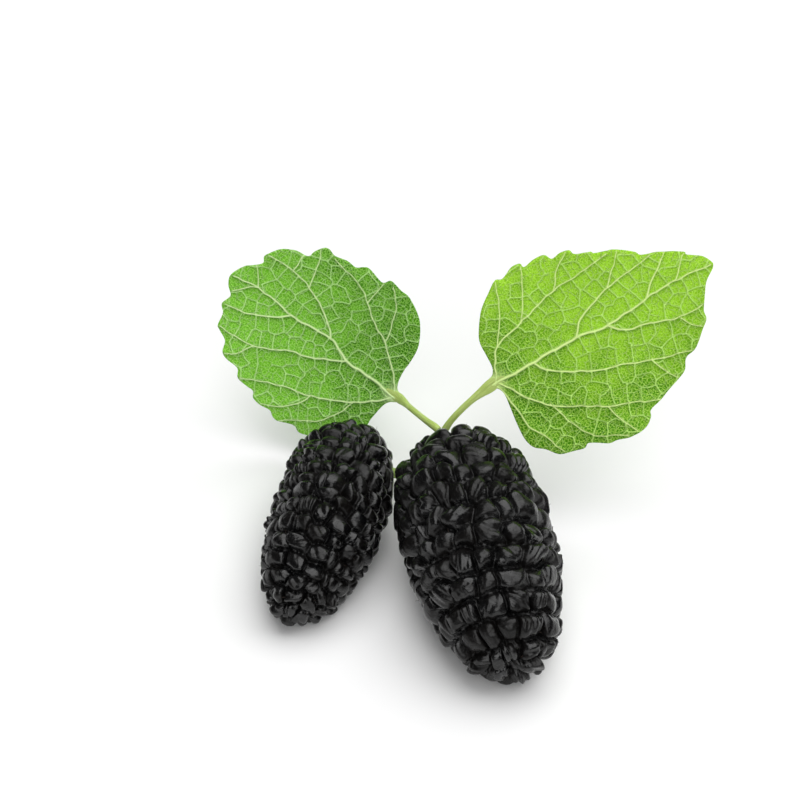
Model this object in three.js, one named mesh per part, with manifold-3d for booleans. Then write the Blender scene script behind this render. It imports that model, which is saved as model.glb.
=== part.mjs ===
// Mulberry sprig: two ripe berries and two leaves on a short green shoot, lying on a surface.
// Millimetres, +Z up. The origin is on the surface, under the middle of the sprig.
import * as THREE from 'three';
import { mergeVertices } from 'three/addons/utils/BufferGeometryUtils.js';
import Module from 'manifold-3d';

const wasm = await Module();
wasm.setup();

// Berries: an axis from stem end to tip, swollen into a blunt body and covered with lobes.
const berryForm = {
  widestAt: 0.4,
  stemBluntness: 3.0,
  rowPitch: 2.3,
  lobeWidth: 2.75,
  widthSpread: 0.38,
  rowDrift: 0.34,
  rowWave: 0.5,
  wavesRound: 2,
  fewestInRow: 5,
  crestLift: -0.1,
  crestSpread: 0.28,
  valleyLift: -1.05,
  shoulderReach: 0.6,
  shoulderDrop: 0.26,
  outlineSteps: 240,
};

const berryLarge = {
  seed: 29,
  radius: 8.1,
  tipBluntness: 2.15,
  axis: [[-0.3, 3.0, 9.2], [0.8, -5.8, 9.3], [3.5, -17.2, 7.9], [6.0, -23.6, 2.0]],
};

const berrySmall = {
  seed: 53,
  radius: 6.2,
  tipBluntness: 2.3,
  axis: [[-12.0, 9.4, 5.8], [-12.4, 2.0, 6.8], [-15.2, -8.7, 6.1], [-18.2, -15.1, 1.8]],
};

// Leaves: a blade plane with its midrib along one axis, traced margin and vein routes.
// Points are [along the midrib, across it], and across is positive on the upper side.
const bladeThickness = 0.64;
const ribSides = 4;
const ribSink = 0.05;

const leafForm = {
  halfWidth: 12,
  edgeRise: 1.1,
  edgePower: 1.5,
  bow: 0.9,
  waveHeight: 0.4,
  waveLength: 17,
  wavePhase: 1.1,
  ringReach: 0.52,
  ringStride: 3,
};

const veinRadii = {
  mid: [0.56, 0.24],
  side: [0.4, 0.2],
  branch: [0.27, 0.17],
};

const leafRight = {
  base: [4.0, 6.91, 16.8],
  along: [0.8677, 0.1536, 0.4728],
  facing: [0, -0.9511, 0.309],
  length: 26.9,
  centre: [10.5, -0.2],
  margin: [
    [0.3, 0.5], [0.7, 1.5], [0.8, 3.1], [0.9, 4.7], [1.4, 5.9], [2.8, 7.9], [4.4, 9.2], [5.7, 10.1],
    [6.5, 9.8], [7.9, 10.4], [8.9, 10.3], [9.1, 9.7], [10.4, 9.9], [11.6, 9.8], [12.1, 9.0],
    [13.2, 9.2], [14.2, 9.0], [14.5, 8.3], [16.1, 7.7], [16.3, 7.4], [17.6, 7.0], [18.6, 6.6],
    [20.2, 5.3], [20.6, 4.7], [22.3, 4.1], [24.7, 2.8], [24.9, 2.3], [26.3, 1.3], [26.9, 0.2],
    [26.7, -0.3], [25.4, -1.4], [24.6, -2.6], [23.7, -4.1], [23.5, -5.1], [22.7, -5.9],
    [21.1, -7.5], [19.6, -8.1], [18.8, -9.3], [17.6, -9.9], [15.1, -10.9], [13.5, -11.4],
    [13.1, -12.1], [12.1, -12.8], [10.3, -12.9], [8.7, -12.5], [7.7, -12.4], [5.8, -11.4],
    [5.0, -11.7], [3.4, -11.3], [2.2, -10.9], [1.3, -9.8], [0.2, -8.8], [-0.2, -7.5], [-0.1, -5.5],
    [0.2, -3.3], [0.4, -1.7], [-0.1, -0.9],
  ],
  veins: [
    ['mid', [0.4, -0.1], [4.8, -0.3], [10.3, -0.2], [13.9, -0.7], [18.9, 0.0], [22.6, 0.3], [26.2, 0.2]],
    ['side', [1.0, -0.1], [1.3, 1.9], [2.3, 3.4], [5.8, 4.4], [10.7, 5.8], [13.8, 6.1], [16.0, 6.4]],
    ['side', [10.3, -0.2], [11.4, 1.2], [13.4, 2.3], [15.9, 3.2], [18.2, 3.6], [20.8, 4.0]],
    ['side', [18.9, 0.0], [20.0, 1.3], [22.2, 3.1]],
    ['branch', [22.6, 0.3], [23.6, 1.6], [24.3, 2.4]],
    ['branch', [2.3, 3.4], [4.4, 6.6], [5.5, 9.4]],
    ['branch', [5.8, 4.4], [7.2, 6.4], [8.8, 9.3]],
    ['branch', [10.7, 5.8], [12.1, 7.9], [13.4, 8.7]],
    ['branch', [15.9, 3.2], [17.0, 4.6], [18.1, 6.2]],
    ['side', [1.2, -0.1], [2.1, -3.1], [4.1, -5.4], [8.9, -8.3], [11.6, -9.4], [14.1, -10.6]],
    ['side', [0.8, -0.1], [0.7, -4.1], [0.9, -6.3], [1.9, -8.4], [2.7, -10.4]],
    ['branch', [4.1, -5.4], [5.3, -8.6], [6.5, -10.6], [9.8, -12.3]],
    ['branch', [9.6, -8.8], [10.1, -10.4], [10.9, -12.0]],
    ['side', [4.8, -0.3], [5.8, -1.9], [9.3, -4.0], [13.2, -5.4], [16.2, -6.5], [19.8, -7.2]],
    ['branch', [16.2, -6.5], [16.8, -8.1], [17.5, -9.3]],
    ['side', [13.9, -0.7], [15.2, -2.0], [17.7, -2.7], [21.0, -3.6], [23.6, -3.3]],
    ['branch', [21.0, -3.6], [21.7, -4.9], [22.5, -5.5]],
  ],
};

const leafLeft = {
  base: [-6.8, 14.59, 8.88],
  along: [-0.8096, 0.3515, 0.4701],
  facing: [-0.2, -0.9182, 0.342],
  length: 23.5,
  centre: [9.8, -0.6],
  margin: [
    [0.0, 1.0], [0.5, 1.9], [0.7, 4.0], [0.7, 5.1], [1.6, 6.5], [2.7, 8.1], [4.4, 9.7], [5.8, 10.5],
    [6.7, 10.8], [7.6, 10.5], [9.5, 11.3], [10.3, 11.2], [10.9, 10.8], [12.2, 10.9], [13.3, 10.7],
    [13.8, 10.0], [14.8, 9.9], [16.1, 9.6], [16.8, 8.7], [18.4, 8.5], [19.3, 8.0], [19.8, 6.8],
    [21.0, 6.1], [21.5, 5.7], [21.8, 4.2], [22.5, 3.3], [22.2, 1.9], [23.1, 1.0], [23.5, -0.2],
    [22.8, -1.9], [21.9, -2.8], [21.2, -3.6], [21.5, -4.3], [21.3, -4.9], [20.4, -6.2], [18.9, -7.1],
    [17.4, -7.4], [17.1, -8.3], [16.5, -9.3], [15.9, -9.6], [14.9, -9.4], [13.4, -9.8], [12.2, -9.8],
    [11.5, -10.4], [10.8, -10.7], [8.8, -10.3], [8.0, -11.1], [6.4, -10.8], [5.3, -10.7], [3.4, -9.6],
    [2.3, -8.5], [1.2, -6.5], [0.9, -4.5], [0.9, -3.1], [0.8, -1.6], [0.4, -0.6],
  ],
  veins: [
    [
      'mid', [0.4, 0.1], [3.3, 0.1], [6.9, 0.2], [9.8, -0.8], [11.8, -0.6], [15.1, -0.3], [20.1, -0.8],
      [22.9, -0.3],
    ],
    [
      'side', [0.9, 0.1], [1.2, -1.6], [2.7, -2.9], [4.5, -4.5], [7.0, -5.8], [8.8, -7.3], [10.9, -8.5],
      [13.9, -8.9],
    ],
    ['side', [9.8, -0.8], [10.8, -1.9], [12.7, -3.2], [15.3, -4.4], [17.8, -5.0], [20.7, -4.9]],
    ['branch', [20.1, -0.8], [21.2, -2.5]],
    ['branch', [4.5, -4.5], [5.6, -8.4], [7.2, -10.2]],
    ['branch', [8.8, -7.3], [8.5, -9.9]],
    ['branch', [15.3, -4.4], [15.9, -7.7], [16.4, -8.6]],
    ['branch', [17.8, -5.0], [17.9, -6.9]],
    ['side', [1.0, 0.1], [1.5, 1.9], [3.4, 3.6], [7.9, 6.3], [12.0, 7.7], [15.4, 9.1]],
    ['branch', [3.4, 3.6], [4.6, 6.7], [6.3, 8.8], [9.1, 10.8]],
    ['branch', [7.9, 6.3], [8.9, 8.2], [10.2, 9.6], [11.8, 10.4]],
    ['side', [6.9, 0.2], [10.1, 2.3], [13.4, 3.6], [16.8, 5.4], [21.0, 5.6]],
    ['branch', [16.8, 5.4], [17.8, 7.2], [18.7, 7.8]],
    ['side', [15.1, -0.3], [16.6, 1.0], [19.2, 2.4], [21.8, 3.1]],
    ['branch', [20.1, -0.8], [20.9, -0.3], [22.2, 1.2]],
  ],
};

// Stems: each follows its points with a radius at each one.
const stemSides = 8;
const stemStepsEach = 2;
const stemSeam = [1, 0, 0];

const shootStub = {
  points: [[-1.75, 5.1, 10.7], [-1.9, 5.8, 9.6], [-2.3, 7.4, 6.2], [-2.6, 8.9, 2.9], [-3.0, 10.2, -0.5]],
  radii: [0.5, 0.95, 1.1, 1.3, 1.35],
};

const petioleRight = {
  points: [[-1.3, 4.9, 11.7], [-0.6, 5.2, 12.8], [0.6, 5.7, 14.05], [1.9, 6.2, 15.15], [3.55, 6.8, 16.3]],
  radii: [0.42, 0.37, 0.39, 0.5, 0.78],
};

const petioleLeft = {
  points: [[-2.4, 6.0, 11.25], [-3.6, 8.2, 10.65], [-5.0, 11.2, 9.75], [-5.8, 13.2, 9.1], [-6.3, 14.3, 8.8]],
  radii: [0.42, 0.36, 0.37, 0.48, 0.75],
};

const stalkLarge = {
  points: [[-0.3, 3.4, 9.3], [-0.6, 4.1, 9.5], [-1.0, 4.8, 9.7]],
  radii: [0.85, 0.68, 0.6],
};

const stalkSmall = {
  points: [
    [-12.0, 10.0, 5.8], [-11.4, 11.2, 5.0], [-9.4, 10.9, 2.7], [-7.2, 9.6, 1.6], [-5.6, 9.1, 2.2],
    [-4.6, 8.9, 2.7],
  ],
  radii: [0.9, 0.65, 0.6, 0.6, 0.62, 0.72],
};

const finishes = {
  berry: { color: 0x17141a, roughness: 0.3 },
  blade: { color: 0x6ba62b, roughness: 0.55 },
  petiole: { color: 0xa9c86a, roughness: 0.5 },
  stalk: { color: 0x8fae52, roughness: 0.6 },
};

// Moves the sprig's middle over the origin
const sprigShift = [0.06, 0.64, 0];

const fullTurn = Math.PI * 2;
const floorBlock = { width: 200, height: 100 };

// Vectors and solids

function vector(values) {
  return new THREE.Vector3(...values);
}

function geometryOf(positions, triangles) {
  const geometry = new THREE.BufferGeometry();
  geometry.setAttribute('position', new THREE.Float32BufferAttribute(positions, 3));
  geometry.setIndex(triangles);
  return geometry;
}

function solidOf(geometry) {
  const plain = geometry.clone();
  plain.deleteAttribute('normal');
  plain.deleteAttribute('uv');
  const merged = mergeVertices(plain);
  return new wasm.Manifold(new wasm.Mesh({
    numProp: 3,
    vertProperties: Float32Array.from(merged.getAttribute('position').array),
    triVerts: Uint32Array.from(merged.index.array),
  }));
}

function geometryOfSolid(solid) {
  const mesh = solid.getMesh();
  return geometryOf(Array.from(mesh.vertProperties), Array.from(mesh.triVerts));
}

// The largest body of a solid, without the small hollows that joining can leave inside it
function outerBody(solid) {
  const bodies = solid.decompose();
  return bodies.reduce((best, body) => (body.volume() > best.volume() ? body : best));
}

// The space above the surface that the sprig lies on
function spaceAboveFloor() {
  const block = new THREE.BoxGeometry(floorBlock.width, floorBlock.width, floorBlock.height);
  block.translate(0, 0, floorBlock.height / 2);
  return solidOf(block);
}

// Seeded numbers from 0 to 1
function makeRandom(seed) {
  let state = seed | 0;
  return () => {
    state = (state + 0x6D2B79F5) | 0;
    let mixed = Math.imul(state ^ (state >>> 15), 1 | state);
    mixed = (mixed + Math.imul(mixed ^ (mixed >>> 7), 61 | mixed)) ^ mixed;
    return ((mixed ^ (mixed >>> 14)) >>> 0) / 4294967296;
  };
}

// Berries

// Half outline of the berry, as share along the axis, radius and arc length from the stem end
function berryMeridian(berry, axisLength) {
  const steps = berryForm.outlineSteps;
  const samples = [];
  let arc = 0;
  for (let i = 0; i <= steps; i++) {
    const turn = Math.PI * i / steps;
    const stemSide = i <= steps / 2;
    const power = 2 / (stemSide ? berryForm.stemBluntness : berry.tipBluntness);
    const reach = stemSide ? -berryForm.widestAt : 1 - berryForm.widestAt;
    const share = berryForm.widestAt + reach * Math.abs(Math.cos(turn)) ** power;
    const radius = berry.radius * Math.max(0, Math.sin(turn)) ** power;
    if (i > 0) {
      const last = samples[i - 1];
      arc += Math.hypot((share - last.share) * axisLength, radius - last.radius);
    }
    samples.push({ share, radius, arc });
  }
  return samples;
}

// Share, radius and slope of the half outline at an arc length
function onMeridian(samples, arc, axisLength) {
  let i = 1;
  while (i < samples.length - 1 && samples[i].arc < arc) {
    i += 1;
  }
  const low = samples[i - 1];
  const high = samples[i];
  const step = high.arc - low.arc;
  const part = Math.min(1, Math.max(0, (arc - low.arc) / step));
  return {
    share: low.share + (high.share - low.share) * part,
    radius: low.radius + (high.radius - low.radius) * part,
    forward: (high.share - low.share) * axisLength / step,
    outward: (high.radius - low.radius) / step,
  };
}

function berryShape(berry) {
  const curve = new THREE.CubicBezierCurve3(...berry.axis.map(vector));
  const axisLength = curve.getLength();
  const samples = berryMeridian(berry, axisLength);
  const length = samples[samples.length - 1].arc;
  // Point of the surface at an arc length and an angle round the axis, and its outward direction
  const place = (arc, angle) => {
    const spot = onMeridian(samples, arc, axisLength);
    const share = Math.min(1, Math.max(0, spot.share));
    const ahead = curve.getTangentAt(share);
    const side = new THREE.Vector3().crossVectors(ahead, new THREE.Vector3(0, 0, 1)).normalize();
    const up = new THREE.Vector3().crossVectors(side, ahead);
    const spoke = side.multiplyScalar(Math.cos(angle)).addScaledVector(up, Math.sin(angle));
    const point = curve.getPointAt(share).addScaledVector(spoke, spot.radius);
    const outward = spoke.clone().multiplyScalar(spot.forward).addScaledVector(ahead, -spot.outward);
    return { point, outward: outward.normalize() };
  };
  const radiusAt = (arc) => onMeridian(samples, arc, axisLength).radius;
  return { length, place, radiusAt };
}

// Rows of lobes from stem end to tip, uneven in width, place and height
function lobeRows(berry, shape) {
  const random = makeRandom(berry.seed);
  const rowCount = Math.round(shape.length / berryForm.rowPitch);
  const rows = [];
  for (let i = 0; i <= rowCount; i++) {
    const arc = shape.length * i / rowCount;
    const isPole = i === 0 || i === rowCount;
    const around = Math.round(fullTurn * shape.radiusAt(arc) / berryForm.lobeWidth);
    const count = isPole ? 1 : Math.max(berryForm.fewestInRow, around);
    const start = random();
    const widths = [];
    for (let j = 0; j < count; j++) {
      widths.push(1 + berryForm.widthSpread * (2 * random() - 1));
    }
    const total = widths.reduce((sum, width) => sum + width, 0);
    const fade = Math.sin(Math.PI * i / rowCount);
    const row = [];
    let passed = 0;
    for (const width of widths) {
      const angle = fullTurn * (start + (passed + width / 2) / total);
      const drift = berryForm.rowDrift * (2 * random() - 1);
      const wave = berryForm.rowWave * Math.sin(berryForm.wavesRound * angle + berry.seed) * fade;
      const lift = berryForm.crestLift + berryForm.crestSpread * (2 * random() - 1);
      row.push({ arc: isPole ? arc : arc + drift + wave, angle, lift });
      passed += width;
    }
    rows.push(row);
  }
  return rows;
}

// Triangles between two neighbouring rows of lobes, each triangle being three lobe numbers
function zipRows(lower, upper, triangles) {
  const gapTo = (lobe) => {
    const turns = (lobe.angle - lower[0].angle) / fullTurn;
    return turns - Math.round(turns);
  };
  let first = 0;
  upper.forEach((lobe, j) => {
    if (Math.abs(gapTo(lobe)) < Math.abs(gapTo(upper[first]))) {
      first = j;
    }
  });
  const lowerAngle = (i) => lower[i % lower.length].angle + fullTurn * Math.floor(i / lower.length);
  const upperStart = lower[0].angle + gapTo(upper[first]) * fullTurn - upper[first].angle;
  const upperAngle = (j) => {
    const k = first + j;
    return upper[k % upper.length].angle + fullTurn * Math.floor(k / upper.length) + upperStart;
  };
  let i = 0;
  let j = 0;
  while (i < lower.length || j < upper.length) {
    const lowerNext = lowerAngle(i) + lowerAngle(i + 1);
    const upperNext = upperAngle(j) + upperAngle(j + 1);
    const a = lower[i % lower.length].number;
    const b = upper[(first + j) % upper.length].number;
    if (j === upper.length || (i < lower.length && lowerNext < upperNext)) {
      i += 1;
      if (lower.length > 1) {
        triangles.push([a, lower[i % lower.length].number, b]);
      }
    } else {
      j += 1;
      if (upper.length > 1) {
        triangles.push([a, upper[(first + j) % upper.length].number, b]);
      }
    }
  }
}

// Corner numbers round each lobe, in order, where three lobes meet at each corner
function cornersRound(lobeCount, triangles) {
  const following = Array.from({ length: lobeCount }, () => new Map());
  triangles.forEach(([a, b, c], corner) => {
    following[a].set(b, { next: c, corner });
    following[b].set(c, { next: a, corner });
    following[c].set(a, { next: b, corner });
  });
  return following.map((links) => {
    const ring = [];
    const start = links.keys().next().value;
    let at = start;
    do {
      const link = links.get(at);
      ring.push(link.corner);
      at = link.next;
    } while (at !== start);
    return ring;
  });
}

// A berry: every lobe is a raised cushion whose edge lies in the creases between its neighbours
function berryGeometry(berry) {
  const shape = berryShape(berry);
  const rows = lobeRows(berry, shape);
  const lobes = rows.flat();
  lobes.forEach((lobe, number) => {
    Object.assign(lobe, shape.place(lobe.arc, lobe.angle), { number });
  });
  const triangles = [];
  for (let i = 1; i < rows.length; i++) {
    zipRows(rows[i - 1], rows[i], triangles);
  }
  const positions = [];
  const faces = [];
  // Adds a point and gives its number
  const add = (point) => positions.push(...point.toArray()) / 3 - 1;
  const corners = triangles.map((numbers) => {
    const point = new THREE.Vector3();
    const outward = new THREE.Vector3();
    for (const number of numbers) {
      point.addScaledVector(lobes[number].point, 1 / 3);
      outward.add(lobes[number].outward);
    }
    outward.normalize();
    return { point, outward, index: add(point.clone().addScaledVector(outward, berryForm.valleyLift)) };
  });
  cornersRound(lobes.length, triangles).forEach((ring, number) => {
    const lobe = lobes[number];
    const top = add(lobe.point.clone().addScaledVector(lobe.outward, lobe.lift));
    const shoulderLift = lobe.lift - berryForm.shoulderDrop;
    const shoulders = ring.map((corner) => {
      const rim = lobe.point.clone().lerp(corners[corner].point, berryForm.shoulderReach);
      return add(rim.addScaledVector(lobe.outward, shoulderLift));
    });
    ring.forEach((corner, k) => {
      const next = (k + 1) % ring.length;
      const low = corners[corner].index;
      const lowNext = corners[ring[next]].index;
      faces.push(top, shoulders[next], shoulders[k]);
      faces.push(shoulders[k], lowNext, low);
      faces.push(shoulders[k], shoulders[next], lowNext);
    });
  });
  const solid = solidOf(geometryOf(positions, faces));
  return geometryOfSolid(solid.intersect(spaceAboveFloor()));
}

// Leaves

// Height of the blade's middle surface off the leaf's plane
function bladeHeight(leaf, along, across) {
  const spread = Math.abs(across) / leafForm.halfWidth;
  const edge = leafForm.edgeRise * spread ** leafForm.edgePower;
  const half = leaf.length / 2;
  const bow = leafForm.bow * (1 - ((along - half) / half) ** 2);
  const swing = Math.sin(fullTurn * along / leafForm.waveLength + leafForm.wavePhase);
  return edge - bow + leafForm.waveHeight * swing * across / leafForm.halfWidth;
}

function leafPlacer(leaf) {
  const along = vector(leaf.along);
  const facing = vector(leaf.facing);
  const across = new THREE.Vector3().crossVectors(facing, along);
  return (u, v, lift) => vector(leaf.base)
    .addScaledVector(along, u)
    .addScaledVector(across, v)
    .addScaledVector(facing, lift);
}

// Blade triangles on the leaf's plane: a fan from the centre to a ring, and a band out to the margin
function bladePattern(leaf) {
  const [u0, v0] = leaf.centre;
  const { ringReach, ringStride } = leafForm;
  const count = leaf.margin.length;
  const ringCount = Math.floor(count / ringStride);
  const inward = ([u, v]) => [u0 + (u - u0) * ringReach, v0 + (v - v0) * ringReach];
  const ring = leaf.margin.filter((_, k) => k % ringStride === 0).slice(0, ringCount).map(inward);
  const points = [leaf.centre, ...ring, ...leaf.margin];
  const ringPoint = (j) => 1 + j % ringCount;
  const rimPoint = (k) => 1 + ringCount + k % count;
  const triangles = [];
  for (let j = 0; j < ringCount; j++) {
    const start = j * ringStride;
    const end = j + 1 < ringCount ? start + ringStride : count;
    const middle = start + Math.floor((end - start) / 2);
    triangles.push([0, ringPoint(j + 1), ringPoint(j)]);
    triangles.push([ringPoint(j), ringPoint(j + 1), rimPoint(middle)]);
    for (let k = start; k < end; k++) {
      triangles.push([ringPoint(k < middle ? j : j + 1), rimPoint(k + 1), rimPoint(k)]);
    }
  }
  const rim = leaf.margin.map((_, k) => rimPoint(k));
  return { points, triangles, rim };
}

// Height of the blade's flat facets, which the ribs follow
function facetHeight(leaf, pattern, u, v) {
  const heights = pattern.points.map((point) => bladeHeight(leaf, ...point));
  for (const [a, b, c] of pattern.triangles) {
    const [au, av] = pattern.points[a];
    const [bu, bv] = pattern.points[b];
    const [cu, cv] = pattern.points[c];
    const whole = (bu - au) * (cv - av) - (cu - au) * (bv - av);
    const shareB = ((u - au) * (cv - av) - (cu - au) * (v - av)) / whole;
    const shareC = ((bu - au) * (v - av) - (u - au) * (bv - av)) / whole;
    if (shareB >= 0 && shareC >= 0 && shareB + shareC <= 1) {
      return heights[a] * (1 - shareB - shareC) + heights[b] * shareB + heights[c] * shareC;
    }
  }
  return bladeHeight(leaf, u, v);
}

// Blade: the pattern on both faces, joined along the margin
function bladeGeometry(leaf, pattern) {
  const place = leafPlacer(leaf);
  const positions = [];
  const faces = [];
  for (const lift of [bladeThickness / 2, -bladeThickness / 2]) {
    for (const [u, v] of pattern.points) {
      positions.push(...place(u, v, bladeHeight(leaf, u, v) + lift).toArray());
    }
  }
  const back = pattern.points.length;
  for (const [a, b, c] of pattern.triangles) {
    faces.push(a, b, c);
    faces.push(a + back, c + back, b + back);
  }
  pattern.rim.forEach((at, k) => {
    const next = pattern.rim[(k + 1) % pattern.rim.length];
    faces.push(at, next, next + back);
    faces.push(at, next + back, at + back);
  });
  return geometryOf(positions, faces);
}

// Closed tube through points, with its own radius at each and one corner towards a given direction
function tubeGeometry(points, radii, sides, towards) {
  const positions = [];
  const faces = [];
  points.forEach((point, i) => {
    const before = points[Math.max(0, i - 1)];
    const after = points[Math.min(points.length - 1, i + 1)];
    const ahead = after.clone().sub(before).normalize();
    const side = new THREE.Vector3().crossVectors(ahead, towards).normalize();
    const up = new THREE.Vector3().crossVectors(side, ahead);
    for (let k = 0; k < sides; k++) {
      const angle = fullTurn * k / sides;
      const corner = point.clone()
        .addScaledVector(up, radii[i] * Math.cos(angle))
        .addScaledVector(side, radii[i] * Math.sin(angle));
      positions.push(...corner.toArray());
    }
  });
  for (let i = 1; i < points.length; i++) {
    for (let k = 0; k < sides; k++) {
      const next = (k + 1) % sides;
      const a = (i - 1) * sides;
      const b = i * sides;
      faces.push(a + k, b + next, b + k);
      faces.push(a + k, a + next, b + next);
    }
  }
  const last = (points.length - 1) * sides;
  for (let k = 1; k < sides - 1; k++) {
    faces.push(0, k + 1, k);
    faces.push(last, last + k, last + k + 1);
  }
  return geometryOf(positions, faces);
}

function veinGeometry(leaf, pattern, [kind, ...route]) {
  const place = leafPlacer(leaf);
  const [thick, thin] = veinRadii[kind];
  const frontFace = bladeThickness / 2 - ribSink;
  const points = route.map(([u, v]) => place(u, v, facetHeight(leaf, pattern, u, v) + frontFace));
  const radii = route.map((_, i) => thick + (thin - thick) * i / (route.length - 1));
  return tubeGeometry(points, radii, ribSides, vector(leaf.facing));
}

function leafGeometry(leaf) {
  const pattern = bladePattern(leaf);
  const ribs = leaf.veins.map((vein) => solidOf(veinGeometry(leaf, pattern, vein)));
  const blade = solidOf(bladeGeometry(leaf, pattern));
  return geometryOfSolid(outerBody(ribs.reduce((whole, rib) => whole.add(rib), blade)));
}

// Stems

function tubeOfStem(stem) {
  const curve = new THREE.CatmullRomCurve3(stem.points.map(vector));
  const spans = stem.points.length - 1;
  const points = [];
  const radii = [];
  for (let i = 0; i <= spans * stemStepsEach; i++) {
    const at = i / stemStepsEach;
    const low = Math.min(spans - 1, Math.floor(at));
    points.push(curve.getPoint(at / spans));
    radii.push(stem.radii[low] + (stem.radii[low + 1] - stem.radii[low]) * (at - low));
  }
  return tubeGeometry(points, radii, stemSides, vector(stemSeam));
}

function stemGeometry(stem) {
  return geometryOfSolid(solidOf(tubeOfStem(stem)).intersect(spaceAboveFloor()));
}

// The sprig

const sprig = new THREE.Group();
sprig.position.set(...sprigShift);

function addNode(name, geometry, finish) {
  const material = new THREE.MeshStandardMaterial({ ...finish, metalness: 0 });
  const mesh = new THREE.Mesh(geometry, material);
  mesh.name = name;
  sprig.add(mesh);
}

addNode('berry_large', berryGeometry(berryLarge), finishes.berry);
addNode('berry_small', berryGeometry(berrySmall), finishes.berry);
addNode('leaf_right_blade', leafGeometry(leafRight), finishes.blade);
addNode('leaf_left_blade', leafGeometry(leafLeft), finishes.blade);
addNode('petiole_right', stemGeometry(petioleRight), finishes.petiole);
addNode('petiole_left', stemGeometry(petioleLeft), finishes.petiole);
addNode('stalk_large', stemGeometry(stalkLarge), finishes.stalk);
addNode('stalk_small', stemGeometry(stalkSmall), finishes.stalk);
addNode('shoot_stub', stemGeometry(shootStub), finishes.stalk);

export default sprig;
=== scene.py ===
import math

import bpy
import numpy as np
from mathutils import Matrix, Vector
from mathutils.geometry import delaunay_2d_cdt


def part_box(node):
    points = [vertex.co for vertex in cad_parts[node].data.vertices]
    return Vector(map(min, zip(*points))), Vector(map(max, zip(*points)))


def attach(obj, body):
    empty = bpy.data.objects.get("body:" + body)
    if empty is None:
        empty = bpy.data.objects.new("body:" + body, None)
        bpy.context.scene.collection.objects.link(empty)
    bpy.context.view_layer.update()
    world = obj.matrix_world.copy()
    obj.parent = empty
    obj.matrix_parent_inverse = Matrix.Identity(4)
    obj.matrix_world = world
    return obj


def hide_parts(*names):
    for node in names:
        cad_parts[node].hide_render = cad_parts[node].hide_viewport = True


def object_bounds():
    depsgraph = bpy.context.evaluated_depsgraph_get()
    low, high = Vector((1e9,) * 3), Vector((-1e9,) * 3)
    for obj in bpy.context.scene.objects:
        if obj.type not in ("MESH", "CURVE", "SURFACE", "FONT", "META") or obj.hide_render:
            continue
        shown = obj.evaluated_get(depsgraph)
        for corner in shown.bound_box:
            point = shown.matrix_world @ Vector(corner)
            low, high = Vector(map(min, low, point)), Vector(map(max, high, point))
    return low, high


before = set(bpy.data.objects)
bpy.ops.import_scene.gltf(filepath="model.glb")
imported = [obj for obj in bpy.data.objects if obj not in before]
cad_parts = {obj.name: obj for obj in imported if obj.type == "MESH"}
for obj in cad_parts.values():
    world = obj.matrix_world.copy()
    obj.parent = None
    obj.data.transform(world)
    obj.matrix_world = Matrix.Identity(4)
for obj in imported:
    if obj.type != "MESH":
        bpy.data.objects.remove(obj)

# Mulberry sprig: two ripe berries and two toothed leaves on a short green shoot, on a white table.
cadBounds = [list(corner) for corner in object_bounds()]
mm = 0.001
fullTurn = 2 * math.pi
sprigShift = np.array([0.06, 0.64, 0.0])  # mm, where the sprig stands in the frame
print("frame loaded:", len(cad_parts), "nodes")


def addObject(name, data):
    made = bpy.data.objects.new(name, data)
    bpy.context.scene.collection.objects.link(made)
    return made


# Camera and light

camera = {
    "place": (-0.006185, -0.160677, 0.145743),
    "tilt": math.radians(52),
    "lens": 87.12,
    "sensor": 36,
    "clip": (0.005, 20),
}

light = {
    "lamps": {
        "overheadSoftbox": {"strength": 2.7, "angle": 72, "turn": (-10, 14)},
        "frontFill": {"strength": 1.25, "angle": 50, "turn": (50, 4)},
    },
    "domeStrength": 0.08,
    "backdropStrength": 1.0,  # what the camera sees past the table's edge
}


def makeCamera():
    data = bpy.data.cameras.new("sprigCamera")
    data.lens = camera["lens"]
    data.sensor_width = camera["sensor"]
    data.clip_start, data.clip_end = camera["clip"]
    made = addObject("sprigCamera", data)
    made.location = camera["place"]
    made.rotation_euler = (camera["tilt"], 0, 0)
    bpy.context.scene.camera = made


makeCamera()


# Helpers for node trees

def feed(tree, node, feeds):
    # Links or sets each named input of a node
    for key, value in feeds.items():
        if isinstance(value, bpy.types.NodeSocket):
            tree.links.new(value, node.inputs[key])
        else:
            node.inputs[key].default_value = value
    return node


def put(tree, kind, feeds=None, **settings):
    made = tree.nodes.new(kind)
    for key, value in settings.items():
        setattr(made, key, value)
    return feed(tree, made, feeds or {})


def maths(tree, operation, *values):
    return put(tree, "ShaderNodeMath", dict(enumerate(values)), operation=operation).outputs[0]


def ramp(tree, value, low, high, outLow=0.0, outHigh=1.0):
    feeds = {"Value": value, "From Min": low, "From Max": high, "To Min": outLow, "To Max": outHigh}
    return put(tree, "ShaderNodeMapRange", feeds, interpolation_type="SMOOTHSTEP").outputs["Result"]


def mixColour(tree, share, first, second):
    return put(tree, "ShaderNodeMix", {0: share, 6: first, 7: second}, data_type="RGBA").outputs[2]


def noise(tree, vector, scale, detail, **more):
    feeds = {"Vector": vector, "Scale": scale, "Detail": detail, **more}
    return put(tree, "ShaderNodeTexNoise", feeds).outputs["Fac"]


def bumped(tree, height, distance, strength):
    feeds = {"Height": height, "Distance": distance, "Strength": strength}
    return put(tree, "ShaderNodeBump", feeds).outputs["Normal"]


def attribute(tree, label):
    return put(tree, "ShaderNodeAttribute", attribute_name=label).outputs["Fac"]


def objectPlace(tree):
    return put(tree, "ShaderNodeTexCoord").outputs["Object"]


def tint(code):
    # Colour of a six-digit code, in the linear values that the shaders use
    parts = [int(code[i:i + 2], 16) / 255 for i in (0, 2, 4)]
    return tuple([p / 12.92 if p <= 0.04045 else ((p + 0.055) / 1.055) ** 2.4 for p in parts] + [1.0])


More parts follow.
